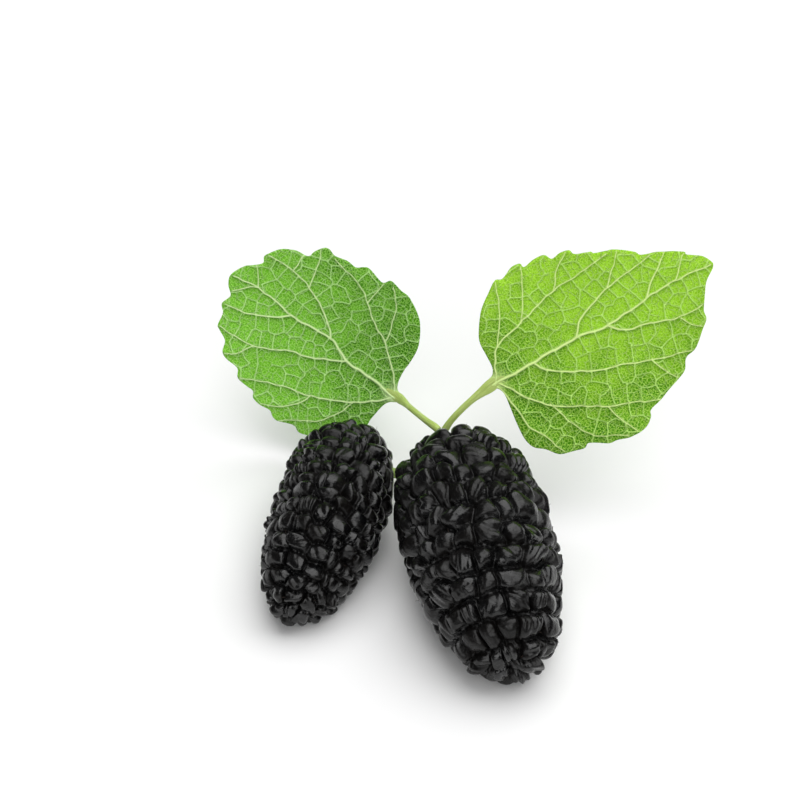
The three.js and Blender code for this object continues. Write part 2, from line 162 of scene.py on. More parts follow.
def newGroup(name, inputs, outputs, kind="ShaderNodeTree"):
    tree = bpy.data.node_groups.new(name, kind)
    for label, socketKind, value in inputs:
        socket = tree.interface.new_socket(name=label, in_out="INPUT", socket_type=socketKind)
        if value is not None:
            socket.default_value = value
    for label, socketKind in outputs:
        tree.interface.new_socket(name=label, in_out="OUTPUT", socket_type=socketKind)
    return tree, tree.nodes.new("NodeGroupInput").outputs, tree.nodes.new("NodeGroupOutput").inputs


def newMaterial(name):
    made = bpy.data.materials.new(name)
    made.use_nodes = True
    tree = made.node_tree
    return made, tree, tree.nodes["Principled BSDF"]


# Shader groups shared by the finishes

grainForm = {
    "Patch": {"detail": 3.0, "roughness": 0.55, "span": (0.3, 0.7)},
    "Grain": {"detail": 4.0, "roughness": 0.6, "span": (0.25, 0.75)},
}


def makeGrainGroup():
    # Uneven growth of plant skin: a mask of broad patches and a mask of fine grain
    inputs = [
        ("Vector", "NodeSocketVector", None),
        ("Patch Scale", "NodeSocketFloat", 250.0),
        ("Grain Scale", "NodeSocketFloat", 4000.0),
    ]
    outputs = [(label, "NodeSocketFloat") for label in grainForm]
    tree, given, result = newGroup("plantGrain", inputs, outputs)
    for label, form in grainForm.items():
        scale = given[label + " Scale"]
        uneven = noise(tree, given["Vector"], scale, form["detail"], Roughness=form["roughness"])
        tree.links.new(ramp(tree, uneven, *form["span"]), result[label])
    return tree


netForm = {
    "wanderPitch": 1.4,          # waves of wandering in one cell
    "wanderDetail": 2.0,
    "scatter": 0.9,
    "lineFade": (0.35, 1.9),     # where a line starts to fade and where it ends, in its own widths
    "gapPitch": 0.8,             # gaps in the net for each cell
    "gapSpan": (0.38, 0.56),
}


def makeNetGroup():
    # Net of small veins: cell edges of one size, wandering, and fading out in places
    inputs = [("Vector", "NodeSocketVector", None)]
    inputs += [(label, "NodeSocketFloat", value) for label, value in (
        ("Cell", 1.7), ("Line", 0.06), ("Wander", 0.3), ("Fade", 0.3))]
    tree, given, result = newGroup("veinNet", inputs, [("Line", "NodeSocketFloat")])
    form = netForm
    perCell = maths(tree, "DIVIDE", 1.0, given["Cell"])
    wobble = put(tree, "ShaderNodeTexNoise", {
        "Vector": given["Vector"], "Scale": maths(tree, "MULTIPLY", perCell, form["wanderPitch"]),
        "Detail": form["wanderDetail"],
    })
    centred = put(tree, "ShaderNodeVectorMath", {0: wobble.outputs["Color"], 1: (0.5, 0.5, 0.5)},
                  operation="SUBTRACT")
    reach = maths(tree, "MULTIPLY", given["Wander"], given["Cell"])
    moved = put(tree, "ShaderNodeVectorMath", {
        0: centred.outputs[0], 1: put(tree, "ShaderNodeCombineXYZ", {0: reach, 1: reach}).outputs[0],
    }, operation="MULTIPLY")
    place = put(tree, "ShaderNodeVectorMath", {0: given["Vector"], 1: moved.outputs[0]}, operation="ADD")
    cells = put(tree, "ShaderNodeTexVoronoi", {
        "Vector": place.outputs[0], "Scale": perCell, "Randomness": form["scatter"],
    }, voronoi_dimensions="2D", feature="DISTANCE_TO_EDGE")
    away = maths(tree, "MULTIPLY", cells.outputs["Distance"], given["Cell"])
    core, rim = [maths(tree, "MULTIPLY", given["Line"], share) for share in form["lineFade"]]
    line = ramp(tree, away, core, rim, 1.0, 0.0)
    gaps = noise(tree, given["Vector"], maths(tree, "MULTIPLY", perCell, form["gapPitch"]), 1.0)
    kept = ramp(tree, gaps, *form["gapSpan"], maths(tree, "SUBTRACT", 1.0, given["Fade"]), 1.0)
    tree.links.new(maths(tree, "MULTIPLY", line, kept), result["Line"])
    return tree


plantGrain = makeGrainGroup()
veinNet = makeNetGroup()


def grainOf(tree, place, finish):
    feeds = {"Vector": place, "Patch Scale": finish["patchScale"], "Grain Scale": finish["grainScale"]}
    return put(tree, "ShaderNodeGroup", feeds, node_tree=plantGrain).outputs


# Meshes

def makePiece(name, points, faces, material, replaced):
    # points in mm off the frame's origin, held inside the box of the solid that the piece stands for
    low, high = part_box(replaced[0])
    points = np.clip(points, np.array(low) / mm, np.array(high) / mm)
    mesh = bpy.data.meshes.new(name)
    mesh.from_pydata((points * mm).tolist(), [], faces)
    mesh.validate()
    mesh.update()
    mesh.polygons.foreach_set("use_smooth", [True] * len(mesh.polygons))
    mesh.materials.append(material)
    return addObject(name, mesh)


def giveAttribute(piece, name, values):
    made = piece.data.attributes.new(name, "FLOAT", "POINT")
    made.data.foreach_set("value", np.asarray(values, np.float32))


def finishPiece(piece, slot, *replaced):
    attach(piece, "root")
    if replaced:
        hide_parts(*replaced)


def makeRandom(seed):
    # The same seeded numbers from 0 to 1 as the solids use
    mask = 0xFFFFFFFF
    state = seed & mask

    def draw():
        nonlocal state
        state = (state + 0x6D2B79F5) & mask
        mixed = ((state ^ (state >> 15)) * (1 | state)) & mask
        mixed = ((mixed + ((mixed ^ (mixed >> 7)) * (61 | mixed) & mask)) ^ mixed) & mask
        return (mixed ^ (mixed >> 14)) / 4294967296
    return draw


def unit(vectors):
    return vectors / np.maximum(np.linalg.norm(vectors, axis=-1, keepdims=True), 1e-9)


# Berries

berryForm = {
    "widestAt": 0.4, "stemBluntness": 3.0,
    "widthSpread": 0.38, "rowDrift": 0.26,
    "rowWave": 0.5, "wavesRound": 2, "fewestInRow": 5,
    "crestLift": -0.14, "crestSpread": 0.22,
    "valley": -1.9,              # how deep the creases between lobes go
    "creaseReach": (0.3, 0.5),   # how far the shoulders run in from a crease, inside a band and between bands
    "mergedDepth": (0.12, 0.9),  # depth of the creases inside one band of lobes
    "kinSpan": 1.4,              # sum of two lobes' draws at which such a crease is deepest
    "rowFill": (0.9, 1.15),      # height of a lobe as a share of its row
    "dome": (0.28, 0.7),         # how much a lobe's middle stands above its edge
    "domePitch": 2.3,            # row pitch at which those heights hold
    "domeShape": (0.45, 1.3),    # where a dome crosses the smooth skin, and where it stops falling
    "depthReach": 1.5,           # how far above or below a point a lobe still counts in full
    "neighbours": 5,             # lobes that shape one point
    "blend": 9,                  # how sharply the nearest lobe wins
    "tilt": 0.19,                # how far a lobe leans out of the skin
    "turn": 0.35,                # how far a lobe is turned in the skin, in radians
    "foldShare": 0.45,           # share of the lobes that are folded
    "foldHeight": 0.22,
    "foldStrength": (0.5, 1),
    "faintFold": (0, 0.12),
    "foldTurn": 1.3,
    "foldPitch": (0.8, 1.4),
    "foldBend": (1.1, 1.7),      # how far a fold bends, and how fast
    "foldRound": 0.8,
    "curl": 0.35,                # extra folding of the lobes at the tip
    "curlFrom": 0.8,             # share of the length past which every lobe is curled
    "curlOver": 0.12,
    "squareness": (2.2, 3.4),
    "wander": 0.55,              # how far the creases wander off their even places
    "wanderPitch": 3.1,
    "wanderFiner": (2.3, 0.45),  # a finer layer of wandering: how much finer, and its share
    "lumpHeight": 0.09,          # small bumps inside a lobe
    "lumpShare": (0.1, 1),
    "lumpPitch": 0.95,
    "lumpFiner": (2.1, 0.5),
    "boxBand": 0.45,             # how far in from the solid's box the lobes start to be held back
    "axisSteps": 201,
    "outlineSteps": 241,
    "stepsAlong": 222,
    "stepsRound": 440,
}

berryLarge = {
    "seed": 29, "radius": 8.1, "tipBluntness": 2.15, "rowPitch": 2.3, "lobeWidth": 2.75,
    "axis": [(-0.3, 3.0, 9.2), (0.8, -5.8, 9.3), (3.5, -17.2, 7.9), (6.0, -23.6, 2.0)],
}

berrySmall = {
    "seed": 53, "radius": 6.2, "tipBluntness": 2.3, "rowPitch": 1.85, "lobeWidth": 2.2,
    "axis": [(-12.0, 9.4, 5.8), (-12.4, 2.0, 6.8), (-15.2, -8.7, 6.1), (-18.2, -15.1, 1.8)],
}


class BerryShape:
    # Smooth body of a berry: an axis swollen by a half outline
    def __init__(self, berry):
        a, b, c, d = [np.array(p) for p in berry["axis"]]
        self.controls = (a, b, c, d)
        self.times = np.linspace(0, 1, berryForm["axisSteps"])
        points = self.bezier(self.times)
        steps = np.linalg.norm(np.diff(points, axis=0), axis=1)
        self.lengths = np.concatenate([[0], np.cumsum(steps)])
        self.axisLength = self.lengths[-1]
        turn = np.linspace(0, math.pi, berryForm["outlineSteps"])
        stemSide = turn <= math.pi / 2
        power = np.where(stemSide, 2 / berryForm["stemBluntness"], 2 / berry["tipBluntness"])
        reach = np.where(stemSide, -berryForm["widestAt"], 1 - berryForm["widestAt"])
        self.share = berryForm["widestAt"] + reach * np.abs(np.cos(turn)) ** power
        self.radius = berry["radius"] * np.maximum(0, np.sin(turn)) ** power
        ahead = np.diff(self.share) * self.axisLength
        outward = np.diff(self.radius)
        stride = np.hypot(ahead, outward)
        self.arc = np.concatenate([[0], np.cumsum(stride)])
        self.length = self.arc[-1]
        self.middles = (self.arc[1:] + self.arc[:-1]) / 2
        self.forward = ahead / stride
        self.outward = outward / stride

    def bezier(self, t):
        a, b, c, d = self.controls
        t = np.asarray(t)[..., None]
        return a * (1 - t) ** 3 + 3 * b * t * (1 - t) ** 2 + 3 * c * t * t * (1 - t) + d * t ** 3

    def slope(self, t):
        a, b, c, d = self.controls
        t = np.asarray(t)[..., None]
        return unit((b - a) * (1 - t) ** 2 + 2 * (c - b) * t * (1 - t) + (d - c) * t * t)

    def radiusAt(self, arc):
        return np.interp(arc, self.arc, self.radius)

    def place(self, arc, angle):
        # Points of the skin, with the directions outward, round and along the berry
        share = np.clip(np.interp(arc, self.arc, self.share), 0, 1)
        time = np.interp(share * self.axisLength, self.lengths, self.times)
        ahead = self.slope(time)
        side = unit(np.cross(ahead, [0, 0, 1]))
        up = np.cross(side, ahead)
        cos, sin = np.cos(angle)[..., None], np.sin(angle)[..., None]
        spoke = side * cos + up * sin
        point = self.bezier(time) + spoke * self.radiusAt(arc)[..., None]
        forward = np.interp(arc, self.middles, self.forward)[..., None]
        rising = np.interp(arc, self.middles, self.outward)[..., None]
        outward = unit(spoke * forward - ahead * rising)
        around = up * cos - side * sin
        return point, outward, around, np.cross(around, outward)


def lobesOf(berry, shape):
    # The rows of lobes, drawn in the same order as in the solids, then each lobe's own habit
    form = berryForm
    random = makeRandom(berry["seed"])
    habit = np.random.default_rng(berry["seed"])
    pitch = berry["rowPitch"]
    rowCount = round(shape.length / pitch)
    lobes = {key: [] for key in ("row", "arc", "angle", "lift", "half")}
    for i in range(rowCount + 1):
        arc = shape.length * i / rowCount
        isPole = i in (0, rowCount)
        radius = float(shape.radiusAt(arc))
        inRow = int(fullTurn * radius / berry["lobeWidth"] + 0.5)
        count = 1 if isPole else max(form["fewestInRow"], inRow)
        start = random()
        widths = [1 + form["widthSpread"] * (2 * random() - 1) for _ in range(count)]
        total = sum(widths)
        fade = math.sin(math.pi * i / rowCount)
        passed = 0
        for width in widths:
            angle = fullTurn * (start + (passed + width / 2) / total)
            drift = form["rowDrift"] * (2 * random() - 1)
            wave = form["rowWave"] * math.sin(form["wavesRound"] * angle + berry["seed"]) * fade
            lobes["row"].append(i)
            lobes["arc"].append(arc if isPole else arc + drift + wave)
            lobes["angle"].append(angle)
            lobes["lift"].append(form["crestLift"] + form["crestSpread"] * (2 * random() - 1))
            roundWidth = fullTurn * radius * width / total / 2
            lobes["half"].append(pitch / 2 if isPole else roundWidth)
            passed += width
    lobes = {key: np.array(value) for key, value in lobes.items()}
    count = len(lobes["row"])
    point, outward, around, along = shape.place(lobes["arc"], lobes["angle"])
    turn = form["turn"] * habit.uniform(-1, 1, count)[:, None]
    lobes.update(point=point, outward=outward)
    lobes["across"] = around * np.cos(turn) + along * np.sin(turn)
    lobes["down"] = along * np.cos(turn) - around * np.sin(turn)
    lobes["tall"] = pitch / 2 * habit.uniform(*form["rowFill"], count)
    lobes["dome"] = habit.uniform(*form["dome"], count) * pitch / form["domePitch"]
    lobes["power"] = habit.uniform(*form["squareness"], count)
    lobes["lump"] = habit.uniform(*form["lumpShare"], count)
    lobes["lean"] = form["tilt"] * habit.normal(0, 1, (count, 2))
    nearTip = np.clip((lobes["arc"] / shape.length - form["curlFrom"]) / form["curlOver"], 0, 1)
    folded = habit.random(count) < form["foldShare"] + nearTip
    strong = habit.uniform(*form["foldStrength"], count)
    faint = habit.uniform(*form["faintFold"], count)
    lobes["fold"] = np.where(folded, strong, faint) + form["curl"] * nearTip
    lobes["foldTurn"] = habit.uniform(-form["foldTurn"], form["foldTurn"], count)
    lobes["foldPitch"] = habit.uniform(*form["foldPitch"], count)
    lobes["foldStart"] = habit.uniform(0, fullTurn, count)
    lobes["kin"] = habit.random(count)
    return lobes


def smoothNoise(points, seed):
    # Random values from -1 to 1 that change smoothly over one unit
    base = np.floor(points).astype(np.int64)
    part = points - base
    part = part * part * (3 - 2 * part)
    total = np.zeros(len(points))
    for corner in np.ndindex(2, 2, 2):
        cell = base + corner
        code = (cell * (73856093, 19349663, 83492791)).sum(-1) + seed * 7919
        code = ((code ^ (code >> 13)) * 1274126177) & 0xFFFFFFFF
        code = ((code ^ (code >> 15)) * 2246822519) & 0xFFFFFFFF
        value = ((code ^ (code >> 16)) & 0xFFFF) / 32767.5 - 1
        total += value * np.prod(np.where(corner, part, 1 - part), -1)
    return total


def layeredNoise(points, seed, finerSeed, finer):
    rate, share = finer
    return smoothNoise(points, seed) + share * smoothNoise(points * rate, finerSeed)


def berryRelief(point, lobes):
    # Height of the skin off the smooth body at each point, and how deep in a crease it lies
    form = berryForm
    spot = point / form["wanderPitch"]
    shove = np.stack([layeredNoise(spot, k, k + 5, form["wanderFiner"]) for k in (1, 2, 3)], 1)
    away = (point + form["wander"] * shove)[:, None, :] - lobes["point"][None]
    across, down, deep = [np.einsum("vlk,lk->vl", away, lobes[way]) for way in ("across", "down", "outward")]
    power = lobes["power"]
    reach = (np.abs(across / lobes["half"]) ** power + np.abs(down / lobes["tall"]) ** power) ** (1 / power)
    reach = reach + np.maximum(0, np.abs(deep) - form["depthReach"])
    near = np.argpartition(reach, form["neighbours"], axis=1)[:, :form["neighbours"]]
    order = np.argsort(np.take_along_axis(reach, near, 1), axis=1)
    near = np.take_along_axis(near, order, 1)
    reach, across, down = [np.take_along_axis(values, near, 1) for values in (reach, across, down)]
    fold = np.cos(lobes["foldTurn"])[near] * across + np.sin(lobes["foldTurn"])[near] * down
    swing = fullTurn * fold / lobes["foldPitch"][near] + lobes["foldStart"][near]
    bend, rate = form["foldBend"]
    swing = swing + bend * np.sin(rate * down + lobes["foldStart"][near] * 2)
    ridge = 1 - 2 * np.abs(np.sin(swing / 2)) ** form["foldRound"]
    lump = layeredNoise(point / form["lumpPitch"], 11, 12, form["lumpFiner"])
    level, rim = form["domeShape"]
    height = lobes["lift"][near] + lobes["dome"][near] * (level - np.minimum(reach, rim) ** 2)
    height = height + lobes["lean"][near, 0] * across + lobes["lean"][near, 1] * down
    height = height - form["foldHeight"] * lobes["fold"][near] * ridge
    height = height + form["lumpHeight"] * lobes["lump"][near] * lump[:, None]
    weight = np.exp(-form["blend"] * (reach - reach[:, :1]))
    height = (height * weight).sum(1) / weight.sum(1)
    sameRow = lobes["row"][near] == lobes["row"][near[:, :1]]
    low, high = form["mergedDepth"]
    kinship = np.clip(lobes["kin"][near] + lobes["kin"][near[:, :1]], 0, form["kinSpan"])
    depth = np.where(sameRow, low + (high - low) * kinship / form["kinSpan"], 1.0)
    gap = np.clip((reach - reach[:, :1]) / np.where(sameRow, *form["creaseReach"]), 0, 1)
    crease = depth * (1 - np.sqrt(1 - (1 - gap) ** 2))
    crease = crease[:, 1:].max(1)
    return height * (1 - crease) + form["valley"] * crease, crease


berryFinish = {
    # the black crease colour is painted shade, on top of the real shade that the creases' depth casts
    "skin": tint("050506"), "flush": tint("0a0807"), "crease": tint("000000"),
    "roughness": (0.22, 0.4), "creaseRoughness": 0.8, "shine": 0.18,
    "coat": (0.65, 0.2), "coatRoughness": 0.19,
    "creaseShadeSpan": (0.2, 0.9),      # depths of crease over which the skin darkens with painted shade, dulls and loses its gloss
    "dullSpan": (0.15, 0.7),
    "coatSpan": (0.05, 0.5),
    "patchScale": 420.0, "grainScale": 5200.0, "grainShare": 0.2,
    "wrinkleScale": 1300.0, "wrinkleHeight": 0.00006, "wrinkleWidth": 0.16, "wrinkleCurl": 0.6,
    "bumpStrength": 0.6,
}


def makeBerryMaterial():
    finish = berryFinish
    material, tree, shader = newMaterial("ripeBerrySkin")
    place = objectPlace(tree)
    grain = grainOf(tree, place, finish)
    crease = attribute(tree, "creaseDepth")
    skin = mixColour(tree, grain["Patch"], finish["skin"], finish["flush"])
    rough = ramp(tree, grain["Patch"], 0.0, 1.0, *finish["roughness"])
    coat = ramp(tree, grain["Patch"], 0.0, 1.0, *finish["coat"])
    wrinkle = noise(tree, place, finish["wrinkleScale"], 2.0, Distortion=finish["wrinkleCurl"])
    ridge = maths(tree, "ABSOLUTE", maths(tree, "SUBTRACT", wrinkle, 0.5))
    ridge = ramp(tree, ridge, 0.0, finish["wrinkleWidth"])
    relief = maths(tree, "MULTIPLY_ADD", grain["Grain"], finish["grainShare"], ridge)
    # Deep in the creases the skin colour goes to black: painted shade
    feed(tree, shader, {
        "Base Color": mixColour(tree, ramp(tree, crease, *finish["creaseShadeSpan"]), skin, finish["crease"]),
        "Roughness": ramp(tree, crease, *finish["dullSpan"], rough, finish["creaseRoughness"]),
        "Coat Weight": maths(tree, "MULTIPLY", coat, ramp(tree, crease, *finish["coatSpan"], 1.0, 0.0)),
        "Normal": bumped(tree, relief, finish["wrinkleHeight"], finish["bumpStrength"]),
        "Coat Roughness": finish["coatRoughness"], "Specular IOR Level": finish["shine"],
    })
    return material


def softened(values):
    # Evens out a grid of heights, closed round the berry
    inner = (np.roll(values, 1, 1) + np.roll(values, -1, 1)) / 4 + values / 2
    inner[1:-1] = inner[1:-1] / 2 + (inner[:-2] + inner[2:]) / 4
    return inner


def heldBack(points, node):
    # Presses the lobes that reach the sides or top of the solid's box gently back, so that they stay round
    low, high = [np.array(corner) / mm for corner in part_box(node)]
    band = berryForm["boxBand"]
    below, above = points - low, high - points
    notUnder = np.arange(3) < 2  # the table cuts the lowest lobes
    points = np.where((below < band) & notUnder, low + band * np.exp((below - band) / band), points)
    return np.where(above < band, high - band * np.exp((above - band) / band), points)


def makeBerry(name, berry, material, node):
    form = berryForm
    shape = BerryShape(berry)
    lobes = lobesOf(berry, shape)
    rows, columns = form["stepsAlong"], form["stepsRound"]
    arcs = np.linspace(0, shape.length, rows + 1)[1:-1]
    angles = np.arange(columns) * fullTurn / columns
    skin, outward, height, crease = [], [], [], []
    for arc in arcs:
        point, away, _, _ = shape.place(np.full(columns, arc), angles)
        lift, depth = berryRelief(point, lobes)
        skin.append(point)
        outward.append(away)
        height.append(lift)
        crease.append(depth)
    skin, outward = np.array(skin), np.array(outward)
    height = softened(np.array(height))
    surface = skin + outward * height[..., None]
    ends = [surface[0].mean(0), surface[-1].mean(0)]
    points = heldBack(np.concatenate([surface.reshape(-1, 3), ends]) + sprigShift, node)
    faces = gridFaces(rows - 1, columns)
    piece = makePiece(name, points, faces, material, [node])
    giveAttribute(piece, "creaseDepth", np.concatenate([np.ravel(crease), [0.5, 0.5]]))
    finishPiece(piece, "berry_skin", node)
    print(name, "made:", len(lobes["row"]), "lobes,", len(piece.data.polygons), "faces")
    return piece


def gridFaces(rows, columns):
    # Faces of a grid closed round, with a point at each end, all looking outwards
    i, j = np.meshgrid(np.arange(rows - 1), np.arange(columns), indexing="ij")
    here, beside = i * columns + j, i * columns + (j + 1) % columns
    faces = np.stack([here, here + columns, beside + columns, beside], -1).reshape(-1, 4).tolist()
    first, last = rows * columns, rows * columns + 1
    below = (rows - 1) * columns
    for j in range(columns):
        after = (j + 1) % columns
        faces.append((first, j, after))
        faces.append((last, below + after, below + j))
    return faces


berrySkin = makeBerryMaterial()
largeBerry = makeBerry("largeBerry", berryLarge, berrySkin, "berry_large")
smallBerry = makeBerry("smallBerry", berrySmall, berrySkin, "berry_small")


# Leaves

leafForm = {
    "halfWidth": 12, "edgeRise": 1.1, "edgePower": 1.5, "bow": 0.9,
    "waveHeight": 0.4, "waveLength": 17, "wavePhase": 1.1,
    "thickness": 0.3,            # the middle of the blade
    "edgeThickness": 0.12,
    "edgeReach": 1.2,            # how far in from the margin the blade thins
    "step": 0.18,                # spacing of the mesh
    "merge": 1e-5,               # points closer than this become one
    "quilting": 0.16,            # how far the fields between veins sink
    "quiltReach": 0.8,
    "smallQuilting": 0.05,
    "smallQuiltReach": 0.35,
    "veinHeight": 1.0,           # height of a vein as a share of its half width
    "veinRound": 0.8,            # breadth of that height, in half widths
    "smallVeinRound": 0.07,
    "smallVeinStart": 0.1,       # how far from a main vein the small ones reach full height
    "reliefAtEdge": 0.15,        # share of the veins' height left at the margin
    "reliefReach": 0.4,
    "backRelief": 0.45,
    "veinStep": 0.2,             # spacing of the points along a vein
    "veinWobble": 0.11,
    "wobblePitch": 0.9,
    "meshRows": (-1.9, -1.1, -0.55, 0, 0.55, 1.1, 1.9),  # rows of points along a vein, in half widths
    "rowMerge": 0.055,
    "veinGap": (1.7, 0.4),       # free space between a vein and the even points, in half widths and in steps
    "smallVeinGap": 0.35,        # the same beside a small vein, in steps beyond its rows
    "rowGap": (2, 0.05),         # free space where a small vein's rows meet a vein, in half widths and mm
    "marginGap": 0.45,           # in steps
    "veinFade": (0.7, 0.7),      # a vein's colour fades from here over this much, in half widths
    "smallVeinFade": (0.045, 0.065),
    "smallVeinHalf": 0.05,       # a small vein narrower than this is paler
    "paintedVeinShade": (0.32, 0.45, 4),   # painted shade beside a vein: its reach, strength, and more of it per mm of width
    # painted shade beside a small vein: its reach and strength
    "paintedSmallVeinShade": (0.14, 0.6),
    "paintedShadeSides": (0.4, 0.6, -0.5),  # the painted shade's even share, what the lower side adds, and the least of that side
    "baseFade": 9.0,             # how far the deeper green reaches out from the leaf's base
    "paleReach": 1.1,            # how far the base itself is as pale as a vein
}

veinHalfWidths = {
    "mid": (0.15, 0.06),
    "side": (0.09, 0.045),
    "branch": (0.06, 0.04),
}

# Net of small veins: its cells stand in pairs along the veins, so that the net leaves them squarely
veinMesh = {
    "seed": 17,
    "pairOffset": 0.8,
    "pairSpread": (0.85, 1.15),
    "pairClear": 0.75,           # a pair's point is left out if another vein is nearer than this, in offsets
    "pairSpacing": 1.5,
    "cell": 1.65,
    "cellJitter": 0.5,
    "rowPitch": 0.87,            # in cells, and so are the gaps
    "pairGap": 0.55,
    "cellGap": 0.72,
    "lengths": (0.05, 6),        # shortest and longest small vein
    "clearance": 0.2,            # least distance of its middle from a main vein
    "step": 0.16,
    "halfWidth": 0.055,
    "widthSpread": (0.85, 1.25),
    "faintShare": 0.25,
    "faintWidth": 0.6,
    "missingShare": 0.1,
    "wobble": 0.07,
    "fineWobble": 0.3,           # as a share of the wobble
    "rowOffset": 0.11,
}

leafRight = {
    "base": (4.0, 6.91, 16.8),
    "along": (0.8677, 0.1536, 0.4728),
    "facing": (0, -0.9511, 0.309),
    "length": 26.9,
    "baseDepth": 0.7,
    # painted shade over the lower half of the blade
    "lowerSideShade": 0.75,
    "margin": [
        (-0.5, 0.4), (0.25, 0.75), (0.7, 1.6), (0.8, 3.1), (0.9, 4.7), (1.4, 5.9), (2.8, 7.9), (4.4, 9.2),
        (5.7, 10.1), (6.5, 9.8), (7.9, 10.4), (8.9, 10.3), (9.1, 9.7), (10.4, 9.9), (11.6, 9.8),
        (12.1, 9.0), (13.2, 9.2), (14.2, 9.0), (14.5, 8.3), (16.1, 7.7), (16.3, 7.4), (17.6, 7.0),
        (18.6, 6.6), (20.2, 5.3), (20.6, 4.7), (22.3, 4.1), (24.7, 2.8), (24.9, 2.3), (26.3, 1.3),
        (26.9, 0.2), (26.7, -0.3), (25.4, -1.4), (24.6, -2.6), (23.7, -4.1), (23.5, -5.1), (22.7, -5.9),
        (21.1, -7.5), (19.6, -8.1), (18.8, -9.3), (17.6, -9.9), (15.1, -10.9), (13.5, -11.4),
        (13.1, -12.1), (12.1, -12.8), (10.3, -12.9), (8.7, -12.5), (7.7, -12.4), (5.8, -11.4),
        (5.0, -11.7), (3.4, -11.3), (2.2, -10.9), (1.3, -9.8), (0.2, -8.8), (-0.2, -7.5), (-0.1, -5.5),
        (0.2, -3.3), (0.35, -1.9), (0.1, -1.0), (-0.5, -0.5),
    ],
    "veins": [
        ("mid", (-0.3, -0.2), (4.8, -0.3), (10.3, -0.2), (13.9, -0.7), (18.9, 0.0), (22.6, 0.3), (26.6, 0.2)),
        ("side", (0.2, -0.1), (1.3, 1.9), (2.3, 3.4), (5.8, 4.4), (10.7, 5.8), (13.8, 6.1), (17.4, 6.8)),
        ("side", (10.3, -0.2), (11.4, 1.2), (13.4, 2.3), (15.9, 3.2), (18.2, 3.6), (21.4, 4.2)),
        ("side", (18.9, 0.0), (20.0, 1.3), (22.2, 3.1), (22.9, 3.7)),
        ("branch", (22.6, 0.3), (23.6, 1.6), (24.6, 2.5)),
        ("branch", (2.3, 3.4), (4.4, 6.6), (5.6, 9.8)),
        ("branch", (5.8, 4.4), (7.2, 6.4), (8.9, 9.9)),
        ("branch", (10.7, 5.8), (12.1, 7.9), (13.7, 8.9)),
        ("branch", (15.9, 3.2), (17.0, 4.6), (18.5, 6.4)),
        ("side", (0.4, -0.2), (2.1, -3.1), (4.1, -5.4), (8.9, -8.3), (11.6, -9.4), (14.9, -10.8)),
        ("side", (0.1, -0.4), (0.7, -4.1), (0.9, -6.3), (1.9, -8.4), (2.9, -10.9)),
        ("branch", (4.1, -5.4), (5.3, -8.6), (6.5, -10.6), (10.0, -12.6)),
        ("branch", (9.6, -8.8), (10.1, -10.4), (11.1, -12.5)),
        ("side", (4.8, -0.3), (5.8, -1.9), (9.3, -4.0), (13.2, -5.4), (16.2, -6.5), (20.4, -7.6)),
        ("branch", (16.2, -6.5), (16.8, -8.1), (17.7, -9.6)),
        ("side", (13.9, -0.7), (15.2, -2.0), (17.7, -2.7), (21.0, -3.6), (24.0, -3.5)),
        ("branch", (21.0, -3.6), (21.7, -4.9), (22.7, -5.7)),
    ],
}

